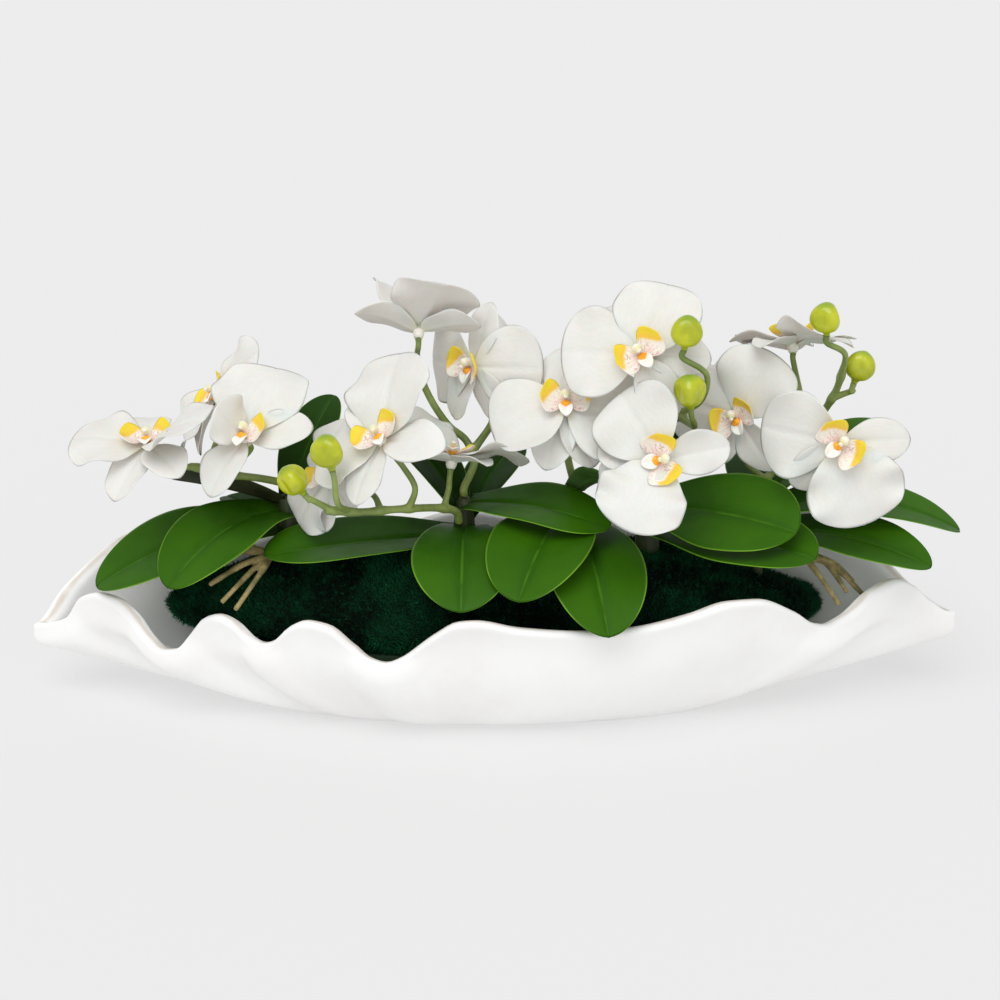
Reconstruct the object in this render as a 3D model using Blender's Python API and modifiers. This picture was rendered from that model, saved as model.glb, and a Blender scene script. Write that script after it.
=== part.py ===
"""White moth orchids planted in a long boat-shaped ceramic bowl with a ruffled rim.

The bowl's flat foot stands on the floor at the origin, its length along X, the front towards -Y.
"""

import math

import bmesh
import bpy
import numpy as np
from mathutils import Matrix, Vector

MM = 0.001
GAP = 0.4  # mm left between two pieces that meet

# Bowl, mm
HALF_LENGTH = 285.0
HALF_WIDTH = 86.0
TIP_WIDTH = 8.0
FOOT = (150.0, 50.0)
FLOOR_THICKNESS = 8.0
WALL = 6.5
TIP_WALL = 12.0
RIM_ROUND = 3.2
BOWL_AROUND = 128
# How far out and how far up the wall is at each level, at the middle and at the two ends.
SECTION_MIDDLE = ((0.0, 0.0), (0.34, 0.08), (0.62, 0.25), (0.84, 0.5), (0.95, 0.76), (1.0, 1.0))
SECTION_ENDS = ((0.0, 0.0), (0.22, 0.15), (0.5, 0.35), (0.85, 0.63), (0.985, 0.75), (1.0, 1.0))
# Height of the ruffled rim along X.
RIM_FRONT = (
    (-285, 46), (-265, 68), (-249, 70), (-237, 75), (-227, 70), (-213, 52), (-197, 46), (-181, 63),
    (-167, 75), (-153, 66), (-140, 59), (-126, 68), (-111, 78), (-92, 72), (-67, 54), (-38, 71),
    (-15, 85), (15, 79), (60, 75), (85, 76), (117, 82), (154, 87), (179, 75), (201, 61), (222, 70),
    (245, 84), (266, 67), (285, 54),
)
RIM_BACK = (
    (-285, 46), (-268, 66), (-250, 82), (-231, 94), (-214, 92), (-190, 80), (-168, 77), (-120, 88),
    (-70, 80), (-20, 90), (40, 80), (95, 90), (150, 84), (180, 98), (205, 109), (221, 101),
    (246, 79), (262, 65), (285, 54),
)

# Planting, mm
FOAM_FOOT = (136.0, 38.0)
FOAM_TOP = (172.0, 58.0)
FOAM_HEIGHT = 46.0
MOSS_HALF = (203.0, 62.0)
MOSS_BASE = FOAM_HEIGHT + GAP
MOSS_TOP = 100.0
MOSS_POWER = 1.9  # of the mound's superellipse outline
CROWN_RADIUS = 8.0
STAKE_RADIUS = 4.0
STAKE_FOOT = 24.0
CROWNS = {
    "crown_left": (-125.0, 0.0),
    "crown_middle": (-18.0, -5.0),
    "crown_centre": (48.0, 6.0),
    "crown_right": (93.0, 0.0),
    "crown_far_right": (160.0, -4.0),
}

LEAF_THICKNESS = 1.3
# name: crown, height of the base, tip, rise in degrees, width, how much the midrib sinks, roll in degrees
LEAVES = {
    "leaf_left_1": ("crown_left", 110, (-240, -24, 79), 6, 56, 0.12, -16),
    "leaf_left_2": ("crown_left", 119, (-192, -58, 92), 16, 56, 0.12, -22),
    "leaf_left_3": ("crown_left", 124, (-198, 20, 133), 14, 46, 0.3, 30),
    "leaf_left_4": ("crown_left", 104, (-168, 46, 112), 16, 30, 0.2, 0),
    "leaf_left_5": ("crown_left", 121, (-98, 34, 182), 72, 38, 0.16, 0),
    "leaf_middle_1": ("crown_middle", 106, (-136, -42, 106), 4, 56, 0.16, -12),
    "leaf_middle_2": ("crown_middle", 112, (-19, -86, 88), 14, 60, 0.1, 0),
    "leaf_middle_3": ("crown_middle", 126, (68, -42, 123), 14, 52, 0.1, 8),
    "leaf_middle_4": ("crown_middle", 116, (14, 52, 146), 36, 34, 0.2, 0),
    "leaf_middle_5": ("crown_middle", 118, (-60, 30, 160), 60, 38, 0.2, 0),
    "leaf_centre_1": ("crown_centre", 118, (14, -92, 97), 16, 62, 0.08, 0),
    "leaf_centre_2": ("crown_centre", 109, (66, -99, 78), 16, 60, 0.08, 0),
    "leaf_centre_3": ("crown_centre", 130, (96, -66, 140), 46, 34, 0.2, -24),
    "leaf_right_1": ("crown_right", 122, (177, -56, 126), 12, 62, 0.12, 30),
    "leaf_right_2": ("crown_right", 110, (188, -62, 112), 8, 56, 0.12, 18),
    "leaf_right_3": ("crown_right", 116, (116, 56, 196), 72, 38, 0.16, 0),
    "leaf_far_right_1": ("crown_far_right", 108, (260, -40, 98), 12, 46, 0.14, 12),
    "leaf_far_right_2": ("crown_far_right", 119, (285, 6, 104), 20, 44, 0.14, 12),
    "leaf_far_right_3": ("crown_far_right", 124, (240, 40, 163), 46, 38, 0.14, 0),
    "leaf_far_right_4": ("crown_far_right", 112, (160, 72, 138), 40, 34, 0.16, 0),
}

PETAL = (46.0, 54.0)
SEPAL = (40.0, 27.0)
LOBE = (19.0, 19.0)
MIDLOBE = (14.0, 10.0)
BLADE_THICKNESS = 1.0
HUB_RADIUS = 3.4
HUB_BACK = 6.0  # from a flower's heart back to the flat end that faces its stalk
# name: heart, the way it faces, the way its top points, size, and the angle of each petal and
# sepal round the heart, with how far each leans forwards, in degrees. The top is at 90.
FLOWERS = {
    "flower_01": ((-204, -25, 170), (-0.12, -0.21, 0.97), (-0.08, 0.98, 0.2), 1.0,
                  ((165, 6), (-25, 30), (90, 0), (-62, 0), (-125, -20))),
    "flower_02": ((-146, -30, 176), (-0.21, -0.54, 0.81), (0.22, 0.79, 0.58), 1.0,
                  ((84, 4), (178, 74), (112, -8), (-111, -6), (15, 4))),
    "flower_03": ((-169, 37, 179), (-0.75, -0.12, 0.58), (-0.11, 0.92, 0.37), 0.9,
                  ((175, 0), (5, 0), (90, -8), (-45, -8), (-135, -8))),
    "flower_04": ((-65, -50, 181), (-0.46, -0.43, 0.78), (-0.31, 0.9, 0.31), 1.0,
                  ((46, 8), (150, -6), (90, 10), (-144, -10), (-47, -6))),
    "flower_05": ((-98, -22, 149), (-0.66, -0.47, 0.58), (-0.26, 0.87, 0.42), 0.8,
                  ((-169, -10), (38, 0), (90, 0), (-128, -10), (-80, -10))),
    "flower_06": ((-45, 15, 229), (0.0, 0.67, 0.74), (-0.91, -0.31, 0.28), 1.0,
                  ((178, 12), (5, 60), (90, 10), (-40, 58), (-140, -4))),
    "flower_07": ((-12, 8, 208), (-0.8, -0.58, 0.12), (0.1, 0.07, 0.99), 0.95,
                  ((-172, 0), (10, -34), (90, -8), (-114, 6), (-50, -16))),
    "flower_08": ((13, 30, 207), (0.49, 0.13, 0.86), (-0.87, 0.18, 0.47), 0.8,
                  ((100, 25), (-55, 0), (60, 40), (-120, -10), (-10, 0))),
    "flower_09": ((42, -20, 194), (0.0, -0.77, 0.64), (-0.03, 0.64, 0.77), 1.0,
                  ((-160, -6), (-22, -6), (90, -8), (-109, -10), (-66, -14))),
    "flower_10": ((85, -34, 227), (-0.13, -0.83, 0.54), (-0.59, 0.5, 0.63), 1.0,
                  ((137, -4), (32, -4), (88, -12), (-38, -8), (-101, -12))),
    "flower_11": ((96, -62, 173), (-0.17, -0.93, 0.34), (0.96, -0.09, 0.25), 1.0,
                  ((-160, -4), (-36, 22), (90, -10), (-116, -14), (-86, -14))),
    "flower_12": ((145, -8, 181), (-0.47, -0.87, 0.14), (-0.44, 0.36, 0.82), 0.95,
                  ((138, -6), (34, -4), (88, -14), (-159, -10), (-87, -10))),
    "flower_13": ((201, -48, 179), (-0.18, -0.97, 0.16), (0.74, -0.03, 0.67), 1.0,
                  ((-140, -2), (-22, -2), (52, -10), (-83, -12), (-56, -14))),
    "flower_14": ((178, 10, 222), (-0.03, 0.45, 0.89), (0.0, -0.89, 0.45), 0.92,
                  ((114, -5), (-72, 12), (172, 6), (-8, 12), (52, -6))),
    "flower_15": ((-25, -16, 158), (0.12, 0.3, 0.95), (0.03, 0.95, -0.3), 0.86,
                  ((165, 34), (-8, 10), (126, 44), (-50, 6), (-130, 0))),
}

# name: middle, the way its nose points, size across
BUDS = {
    "bud_left_1": ((-95, -66, 180), (-0.2, 0.0, 1.0), 19.5),
    "bud_left_2": ((-116, -62, 161), (-0.6, 0.0, 0.8), 18.0),
    "bud_middle_1": ((110, -48, 246), (0.1, -0.1, 1.0), 18.5),
    "bud_middle_2": ((112, -56, 213), (-0.1, -0.2, 1.0), 19.0),
    "bud_right_1": ((191, -34, 250), (-0.1, -0.2, 1.0), 18.0),
    "bud_right_2": ((216, -10, 214), (0.3, 0.0, 1.0), 18.0),
}
BUD_STEM = 0.62  # from a bud's middle back to its flat end, as a part of its size

STEM_RADIUS = 2.5
STALK_RADIUS = 1.7
# name: the stem's path, then one stalk for each flower or bud: its name and the points it leaves by
SPIKES = {
    "spike_left": (
        (
            (-125, 0, 130.6), (-125.6, -0.4, 136), (-138, -7, 142), (-158, -13, 147), (-170, -16, 151),
            (-181, -18, 154),
        ),
        (
            ("flower_01", ((-176, -17, 153), (-190, -21, 155))),
            ("flower_02", ((-156, -13, 147), (-151, -19, 157))),
            ("flower_03", ((-166, -15, 150), (-168, -2, 160))),
        ),
    ),
    "spike_front": (
        (
            (-21, -17, 118), (-23, -20, 126), (-34, -30, 132), (-56, -46, 137), (-78, -56, 139),
            (-97, -62, 142),
        ),
        (
            ("flower_04", ((-50, -42, 136), (-46, -46, 150), (-52, -46, 162))),
            ("flower_05", ((-66, -51, 138), (-72, -36, 143))),
            ("flower_15", ((-30, -26, 130), (-27, -20, 140))),
            ("bud_left_1", ((-84, -58, 140), (-90, -66, 148))),
            ("bud_left_2", ((-93, -60, 141), (-106, -62, 149))),
        ),
    ),
    "spike_middle": (
        (
            (-18, -5, 130.6), (-18, -4.6, 136), (-12, 9, 147), (-17, 18, 158), (-27, 18, 167),
            (-36, 18, 180), (-43, 20, 194), (-47, 22, 206),
        ),
        (
            ("flower_06", ((-44, 20, 197), (-46, 15, 212))),
            ("flower_07", ((-14, 13, 152), (-1, 22, 170), (1, 19, 192))),
            ("flower_08", ((-14, 12, 151), (6, 29, 177))),
        ),
    ),
    "spike_centre": (
        (
            (48, 6, 130.6), (48, 6.4, 136), (45, 16, 154), (56, 16, 172), (74, 4, 182), (93, -12, 186),
            (112, -30, 188),
        ),
        (
            ("flower_09", ((46, 17, 158), (41, 6, 172))),
            ("flower_10", ((74, 4, 182), (84, -6, 200))),
            ("flower_11", ((92, -11, 186), (98, -30, 182))),
            ("bud_middle_1", ((106, -24, 188), (120, -36, 200), (122, -48, 220))),
            ("bud_middle_2", ((109, -28, 188), (116, -46, 188))),
        ),
    ),
    "spike_right": (
        (
            (160, -4, 131.2), (160.2, -4, 136), (176, 3, 152), (192, 4, 172), (202, -6, 195),
            (205, -16, 213),
        ),
        (
            ("flower_12", ((164, -3, 139), (152, 6, 150), (149, 10, 168))),
            ("flower_13", ((184, 4, 160), (195, -14, 166))),
            ("flower_14", ((190, 4, 169), (184, 6, 190))),
            ("bud_right_1", ((204, -14, 208), (204, -27, 226))),
            ("bud_right_2", ((201, -4, 192), (212, -9, 198))),
        ),
    ),
}

ROOT_RADIUS = 1.7
# name: the knot the roots leave, then each root's tip
ROOTS = {
    "roots_left": (
        (-133, -28, 101.5),
        ((-168, -50, 91), (-172, -40, 94), (-160, -60, 84), (-164, -34, 98), (-152, -62, 80)),
    ),
    "roots_right": (
        (186, -20, 98),
        ((224, -20, 72), (219, -8, 76), (213, -25, 76), (207, -34, 72)),
    ),
}

COLOURS = {
    "bowl": ((0.86, 0.86, 0.85), 0.45),
    "foam": ((0.16, 0.22, 0.14), 0.9),
    "moss": ((0.01, 0.06, 0.025), 0.95),
    "crown": ((0.12, 0.18, 0.05), 0.5),
    "leaf": ((0.05, 0.2, 0.02), 0.35),
    "flower": ((0.88, 0.88, 0.86), 0.5),
    "bud": ((0.42, 0.55, 0.02), 0.3),
    "spike": ((0.25, 0.32, 0.1), 0.5),
    "roots": ((0.3, 0.24, 0.12), 0.7),
}


def clear_scene():
    for obj in list(bpy.data.objects):
        bpy.data.objects.remove(obj)
    for collection in list(bpy.data.collections):
        bpy.data.collections.remove(collection)


def new_collection(name):
    collection = bpy.data.collections.new(name)
    bpy.context.scene.collection.children.link(collection)
    return collection


def material(kind):
    """The Principled material of this kind of piece, made once."""
    found = bpy.data.materials.get(kind)
    if found:
        return found
    made = bpy.data.materials.new(kind)
    made.use_nodes = True
    colour, roughness = COLOURS[kind]
    principled = made.node_tree.nodes["Principled BSDF"]
    principled.inputs["Base Color"].default_value = (*colour, 1.0)
    principled.inputs["Roughness"].default_value = roughness
    return made


def blended(table, at):
    """A smooth value from a table of (place, value), level at the ends, crests and valleys."""

    def slope(i):
        if i in (0, len(table) - 1):
            return 0.0
        before, after = (
            (table[k + 1][1] - table[k][1]) / (table[k + 1][0] - table[k][0]) for k in (i - 1, i)
        )
        return 2.0 * before * after / (before + after) if before * after > 0.0 else 0.0

    places = [row[0] for row in table]
    index = min(max(int(np.searchsorted(places, at)) - 1, 0), len(table) - 2)
    (start, low), (end, high) = table[index], table[index + 1]
    part = min(max((at - start) / (end - start), 0.0), 1.0)
    ease = part * part * (3.0 - 2.0 * part)
    lift = slope(index) * part * (1.0 - part) ** 2 - slope(index + 1) * part**2 * (1.0 - part)
    return low + (high - low) * ease + (end - start) * lift


def mesh_object(name, points, faces):
    """A mesh object from points in mm, its faces turned outwards."""
    mesh = bpy.data.meshes.new(name)
    mesh.from_pydata([Vector(point) * MM for point in points], [], faces)
    shell = bmesh.new()
    shell.from_mesh(mesh)
    bmesh.ops.recalc_face_normals(shell, faces=shell.faces)
    shell.to_mesh(mesh)
    shell.free()
    obj = bpy.data.objects.new(name, mesh)
    bpy.context.scene.collection.objects.link(obj)
    return obj


def stacked(name, rings):
    """A body through rings of points, each end closed by a fan round its middle."""
    around = len(rings[0])
    points = [point for ring in rings for point in ring]
    faces = []
    for level in range(len(rings) - 1):
        for i in range(around):
            low = level * around
            j = (i + 1) % around
            faces.append((low + i, low + j, low + around + j, low + around + i))
    for ring, start in ((rings[0], 0), (rings[-1], (len(rings) - 1) * around)):
        points.append(np.mean(np.array(ring), axis=0))
        for i in range(around):
            faces.append((len(points) - 1, start + i, start + (i + 1) % around))
    return mesh_object(name, points, faces)


def turned(name, profile, sides):
    """A body turned about Z from a profile of (radius, height), closed at both ends on the axis."""
    turns = [2.0 * math.pi * i / sides for i in range(sides)]
    rings = [[(radius * math.cos(a), radius * math.sin(a), z) for a in turns] for radius, z in profile]
    return stacked(name, rings)


def baked(obj):
    """The object with its modifiers made part of its mesh."""
    graph = bpy.context.evaluated_depsgraph_get()
    mesh = bpy.data.meshes.new_from_object(obj.evaluated_get(graph))
    obj.modifiers.clear()
    if obj.type == "MESH":
        obj.data = mesh
        return obj
    name = obj.name
    bpy.data.objects.remove(obj)
    made = bpy.data.objects.new(name, mesh)
    bpy.context.scene.collection.objects.link(made)
    return made


def welded(obj, within=0.001):
    """The object with points this close, in mm, made one."""
    shell = bmesh.new()
    shell.from_mesh(obj.data)
    bmesh.ops.remove_doubles(shell, verts=shell.verts, dist=within * MM)
    bmesh.ops.recalc_face_normals(shell, faces=shell.faces)
    shell.to_mesh(obj.data)
    shell.free()
    return obj


def fused(pieces):
    """The pieces joined into the first as one body."""
    first, others = pieces[0], pieces[1:]
    cutters = new_collection("joined")
    for piece in others:
        bpy.context.scene.collection.objects.unlink(piece)
        cutters.objects.link(piece)
    union = first.modifiers.new("join", "BOOLEAN")
    union.operation = "UNION"
    union.solver = "EXACT"
    union.operand_type = "COLLECTION"
    union.collection = cutters
    baked(first)
    for piece in others:
        bpy.data.objects.remove(piece)
    bpy.data.collections.remove(cutters)
    return first


def smooth_path(points, steps):
    """A Catmull-Rom curve through the points."""
    controls = [Vector(p) for p in points]
    controls = [2 * controls[0] - controls[1], *controls, 2 * controls[-1] - controls[-2]]
    found = []
    for i in range(1, len(controls) - 2):
        before, start, end, after = controls[i - 1 : i + 3]
        for step in range(steps):
            t = step / steps
            found.append(
                0.5
                * (
                    2 * start
                    + (end - before) * t
                    + (2 * before - 5 * start + 4 * end - after) * t**2
                    + (3 * start - before - 3 * end + after) * t**3
                )
            )
    return [*found, controls[-2]]


def tube(name, points, start_radius, end_radius):
    """A round bar through the points, in mm, with flat ends."""
    curve = bpy.data.curves.new(name, "CURVE")
    curve.dimensions = "3D"
    curve.bevel_depth = MM
    curve.bevel_resolution = 1
    curve.use_fill_caps = True
    spline = curve.splines.new("POLY")
    spline.points.add(len(points) - 1)
    for i, (target, point) in enumerate(zip(spline.points, points)):
        target.co = (*(Vector(point) * MM), 1.0)
        target.radius = start_radius + (end_radius - start_radius) * i / (len(points) - 1)
    obj = bpy.data.objects.new(name, curve)
    bpy.context.scene.collection.objects.link(obj)
    return welded(baked(obj))


def leaf_outline(s):
    """Half width of a leaf from its base to its tip: a narrow foot, widest past the middle, a round tip."""
    if s < 0.58:
        part = s / 0.58
        return 0.3 + 0.7 * (3 * part**2 - 2 * part**3) ** 0.8
    return max((1.0 - ((s - 0.58) / 0.42) ** 2.3), 0.02) ** 0.55


def petal_outline(s):
    """Half width of a petal: a short claw, then broad and round."""
    if s < 0.55:
        return 0.14 + 0.86 * math.sin(0.5 * math.pi * s / 0.55) ** 0.85
    return max(1.0 - ((s - 0.55) / 0.45) ** 2.4, 0.06) ** 0.5


def sepal_outline(s):
    """Half width of a sepal: an oval with a softly pointed tip."""
    return 0.2 + 0.8 * math.sin(math.pi * min(0.08 + 0.84 * s**0.95, 1.0)) ** 0.9


def blade(name, base, knee, tip, facing, width, outline, cells, thickness, cup, roll=0.0):
    """A leaf or petal along the curve base, knee, tip. Its upper side looks along facing.

    cup raises its two edges above the middle line, as a part of the half width there.
    """
    base, knee, tip, facing = Vector(base), Vector(knee), Vector(tip), Vector(facing)
    across, along = cells
    sheet = bmesh.new()
    bmesh.ops.create_grid(sheet, x_segments=across, y_segments=along, size=1.0)
    for vert in sheet.verts:
        c, s = vert.co.x, 0.5 * (vert.co.y + 1.0)
        s = 1.0 - (1.0 - s) ** 1.25
        spine = base * (1 - s) ** 2 + knee * 2 * s * (1 - s) + tip * s**2
        forward = ((knee - base) * (1 - s) + (tip - knee) * s).normalized()
        up = (facing - forward * facing.dot(forward)).normalized()
        side = forward.cross(up)
        turn = Matrix.Rotation(math.radians(roll), 3, forward)
        half = 0.5 * width * outline(s)
        vert.co = (spine + turn @ (side * c * half + up * cup * half * abs(c) ** 1.4)) * MM
    mesh = bpy.data.meshes.new(name)
    sheet.to_mesh(mesh)
    sheet.free()
    obj = bpy.data.objects.new(name, mesh)
    bpy.context.scene.collection.objects.link(obj)
    thick = obj.modifiers.new("thickness", "SOLIDIFY")
    thick.thickness = thickness * MM
    thick.offset = 0.0
    return welded(baked(obj))


def finish(obj, name, kind, collection, smooth=True):
    """Names the object, gives it its material and puts it in the collection of nodes."""
    obj.name = name
    obj.data.name = name
    obj.data.materials.clear()
    obj.data.materials.append(material(kind))
    bpy.context.scene.collection.objects.unlink(obj)
    collection.objects.link(obj)
    if smooth:
        obj.data.shade_smooth()
    return obj


def plan_ring(half_length, half_width, tip_width, turn):
    """A point of a boat-shaped outline: pointed at both ends, with tips rounded by tip_width."""
    rise = abs(math.sin(turn))
    y = (half_width - tip_width) * rise**2.3 + tip_width * rise
    return half_length * math.cos(turn), math.copysign(y, math.sin(turn))


def wall_ring(foot, rim, floor, level, inset):
    """One ring of the bowl's wall: level counts up the section from the foot to the rim."""
    ring = []
    for i in range(BOWL_AROUND):
        turn = 2.0 * math.pi * (i + 0.5) / BOWL_AROUND
        end = abs(math.cos(turn)) ** 1.5
        out, up = (
            middle * (1 - end) + tip * end
            for middle, tip in zip(SECTION_MIDDLE[level], SECTION_ENDS[level])
        )
        low_x, low_y = foot[0] * math.cos(turn), foot[1] * math.sin(turn)
        x, y = plan_ring(*rim, turn)
        high = blended(RIM_FRONT if y < 0 else RIM_BACK, x * HALF_LENGTH / rim[0]) - inset
        ring.append((low_x + (x - low_x) * out, low_y + (y - low_y) * out, floor + (high - floor) * up))
    return ring


def make_bowl():
    outside = (HALF_LENGTH, HALF_WIDTH, TIP_WIDTH)
    inside = (HALF_LENGTH - TIP_WALL, HALF_WIDTH - WALL, TIP_WIDTH - 0.5)
    inner_foot = (FOOT[0] - 5.0, FOOT[1] - 7.0)
    top = len(SECTION_MIDDLE) - 1

    def between(part, inset):
        """A ring over the rounded rim, part of the way from the outside to the inside."""
        rim = tuple(o + (i - o) * part for o, i in zip(outside, inside))
        return wall_ring(FOOT, rim, 0.0, top, inset)

    rings = [wall_ring(FOOT, outside, 0.0, level, RIM_ROUND) for level in range(top + 1)]
    rings += [between(0.15, 0.9), between(0.5, 0.0), between(0.85, 0.9)]
    rings += [
        wall_ring(inner_foot, inside, FLOOR_THICKNESS, level, RIM_ROUND) for level in range(top, -1, -1)
    ]
    return stacked("bowl", rings)


def superellipse(half, turn, power):
    c, s = math.cos(turn), math.sin(turn)
    return (
        half[0] * math.copysign(abs(c) ** (2 / power), c),
        half[1] * math.copysign(abs(s) ** (2 / power), s),
    )


def make_foam():
    rings = []
    levels = ((FOAM_FOOT, FLOOR_THICKNESS + 0.5), (FOAM_TOP, FOAM_HEIGHT))
    for half, z in levels:
        turns = [2.0 * math.pi * i / 40 for i in range(40)]
        rings.append([(half[0] * math.cos(a), half[1] * math.sin(a), z) for a in turns])
    return stacked("foam_block", rings)


def moss_height(r):
    """Height of the moss mound's skin at this part of the way out from its middle."""
    return MOSS_BASE + 15.0 + (MOSS_TOP - MOSS_BASE - 15.0) * (1.0 - r**3.2)


def make_moss():
    turns = [2.0 * math.pi * (i + 0.5) / 36 for i in range(36)]
    rings = []
    for scale, z in ((0.84, MOSS_BASE), (0.92, MOSS_BASE + 5.0), (1.0, MOSS_BASE + 15.0)):
        half = (MOSS_HALF[0] * scale, MOSS_HALF[1] * scale)
        rings.append([(*superellipse(half, a, MOSS_POWER), z) for a in turns])
    for scale in (0.96, 0.86, 0.7, 0.4):
        half = (MOSS_HALF[0] * scale, MOSS_HALF[1] * scale)
        rings.append([(*superellipse(half, a, MOSS_POWER), moss_height(scale)) for a in turns])
    return stacked("moss_mound", rings)


def crown_profile(clearance):
    """A sheath standing on a thin stake, grown by the clearance for its socket."""
    stake, sheath = STAKE_RADIUS + clearance, CROWN_RADIUS + clearance
    return (
        (stake, STAKE_FOOT - clearance),
        (stake, 90.0 - clearance),
        (sheath, 92.0 - clearance),
        (sheath, 127.0),
        (0.7 * sheath, 130.0),
    )


def cut(obj, cutter):
    """Takes the cutter out of the object, and leaves the cutter for the next one."""
    hole = obj.modifiers.new("hole", "BOOLEAN")
    hole.operation = "DIFFERENCE"
    hole.solver = "EXACT"
    hole.object = cutter
    return baked(obj)


def make_leaf(name):
    crown, height, tip, rise, width, cup, roll = LEAVES[name]
    middle = Vector((*CROWNS[crown], height))
    tip = Vector(tip)
    flat = Vector((tip.x - middle.x, tip.y - middle.y, 0.0)).normalized()
    base = middle + flat * (CROWN_RADIUS + GAP + 0.6)
    reach = 0.5 * (tip - base).length
    rising = math.radians(rise)
    knee = base + (flat * math.cos(rising) + Vector((0, 0, 1)) * math.sin(rising)) * reach
    facing = Vector((0, 0, 1)) - flat * 0.35
    return blade(name, base, knee, tip, facing, width, leaf_outline, (2, 7), LEAF_THICKNESS, cup, roll)


def frame_of(heart, facing, top):
    """The flower's own axes: across to the viewer's right, up to its top, out the way it faces."""
    out = Vector(facing).normalized()
    up = Vector(top)
    up = (up - out * up.dot(out)).normalized()
    across = up.cross(out)
    turn = Matrix((across, up, out)).transposed()
    return Matrix.Translation(Vector(heart)) @ turn.to_4x4()


def make_flower(name):
    heart, facing, top, size, spread = FLOWERS[name]
    place = frame_of(heart, facing, top)
    out = (place.to_3x3() @ Vector((0, 0, 1))).normalized()
    pieces = [turned(name, ((2.2, -HUB_BACK), (HUB_RADIUS, -1.0), (HUB_RADIUS, 2.4)), 6)]
    pieces[0].data.transform(Matrix.Translation(Vector(heart) * MM) @ place.to_3x3().to_4x4())

    def add(part, angle, lean, start, length, width, outline, cells, curl, cup, roll=0.0):
        """A petal, sepal or lobe at this angle round the heart, leaning forwards by lean."""
        a, lift = math.radians(angle), math.radians(lean)
        flat = Vector((math.cos(a), math.sin(a), 0.0))
        way = flat * math.cos(lift) + Vector((0, 0, 1)) * math.sin(lift)
        normal = Vector((0, 0, 1)) * math.cos(lift) - flat * math.sin(lift)
        base = flat * start[0] + Vector((0, 0, start[1]))
        tip = base + way * length * size
        knee = base + (way * 0.5 + normal * curl) * length * size
        turn = place.to_3x3()
        pieces.append(
            blade(
                f"{name}_{part}",
                place @ base,
                place @ knee,
                place @ tip,
                turn @ normal,
                width * size,
                outline,
                cells,
                BLADE_THICKNESS,
                cup,
                roll,
            )
        )

    for i, (angle, lean) in enumerate(spread[:2]):
        add(f"petal_{i}", angle, lean, (1.5, 0.6 + 0.45 * i), *PETAL, petal_outline, (4, 3), 0.07, 0.06)
    for i, (angle, lean) in enumerate(spread[2:]):
        add(f"sepal_{i}", angle, lean, (1.5, -1.9 + 0.37 * i), *SEPAL, sepal_outline, (2, 2), 0.05, 0.12)
    for i, angle in enumerate((-4, 184)):
        add(f"lobe_{i}", angle, 32, (0.5, 1.7 + 0.31 * i), *LOBE, petal_outline, (2, 2), -0.1, 0.35)
    add("midlobe", -90, 40, (0.8, 1.6), *MIDLOBE, sepal_outline, (1, 2), 0.12, 0.3)
    column = turned(f"{name}_column", ((2.4, 0.0), (2.6, 6.0), (1.2, 9.0)), 5)
    column.data.transform(Matrix.Rotation(math.radians(-26), 4, "X"))
    column.data.transform(Matrix.Translation(Vector(heart) * MM) @ place.to_3x3().to_4x4())
    pieces.append(column)
    return welded(fused(pieces), 0.03)


def scaled_mm(profile, size):
    return [(radius * size, height * size) for radius, height in profile]


BUD_PROFILE = (
    (0.1, -BUD_STEM), (0.16, -0.5), (0.36, -0.38), (0.49, -0.16), (0.5, 0.06),
    (0.42, 0.27), (0.26, 0.42), (0.08, 0.5),
)


def make_bud(name):
    middle, nose, size = BUDS[name]
    bud = turned(name, scaled_mm(BUD_PROFILE, size), 8)
    turn = Vector((0, 0, 1)).rotation_difference(Vector(nose)).to_matrix().to_4x4()
    bud.data.transform(Matrix.Translation(Vector(middle) * MM) @ turn)
    return bud


def stalk_end(name):
    """Where a stalk ends behind its flower or bud, and the way it arrives there."""
    if name in FLOWERS:
        heart, facing, _, _, _ = FLOWERS[name]
        way = Vector(facing).normalized()
        return Vector(heart) - way * (HUB_BACK + GAP), way
    middle, nose, size = BUDS[name]
    way = Vector(nose).normalized()
    return Vector(middle) - way * (size * BUD_STEM + GAP), way


def make_spike(name):
    path, stalks = SPIKES[name]
    pieces = [tube(name, smooth_path(path, 3), STEM_RADIUS, 0.85 * STEM_RADIUS)]
    for held, leaving in stalks:
        end, way = stalk_end(held)
        points = smooth_path((*leaving, end - way * 5.0), 2)
        pieces.append(tube(f"{name}_{held}", [*points, end], STALK_RADIUS * 1.1, STALK_RADIUS))
    return welded(fused(pieces))


def make_roots(name):
    knot, tips = ROOTS[name]
    pieces = []
    for i, tip in enumerate(tips):
        start = Vector(knot) + Vector((0.0, 2.2 * (i % 3 - 1), 1.1 * (i % 2)))
        reach = Vector(tip) - start
        sway = reach.cross(Vector((0, 0, 1))).normalized() * (5.0 if i % 2 else -4.0)
        middle = start + reach * 0.5 + sway + Vector((0, 0, 5.0))
        points = smooth_path((start, middle, tip), 3)
        pieces.append(tube(f"{name}_{i}", points, ROOT_RADIUS, 0.6 * ROOT_RADIUS))
    return welded(fused(pieces))


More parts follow.
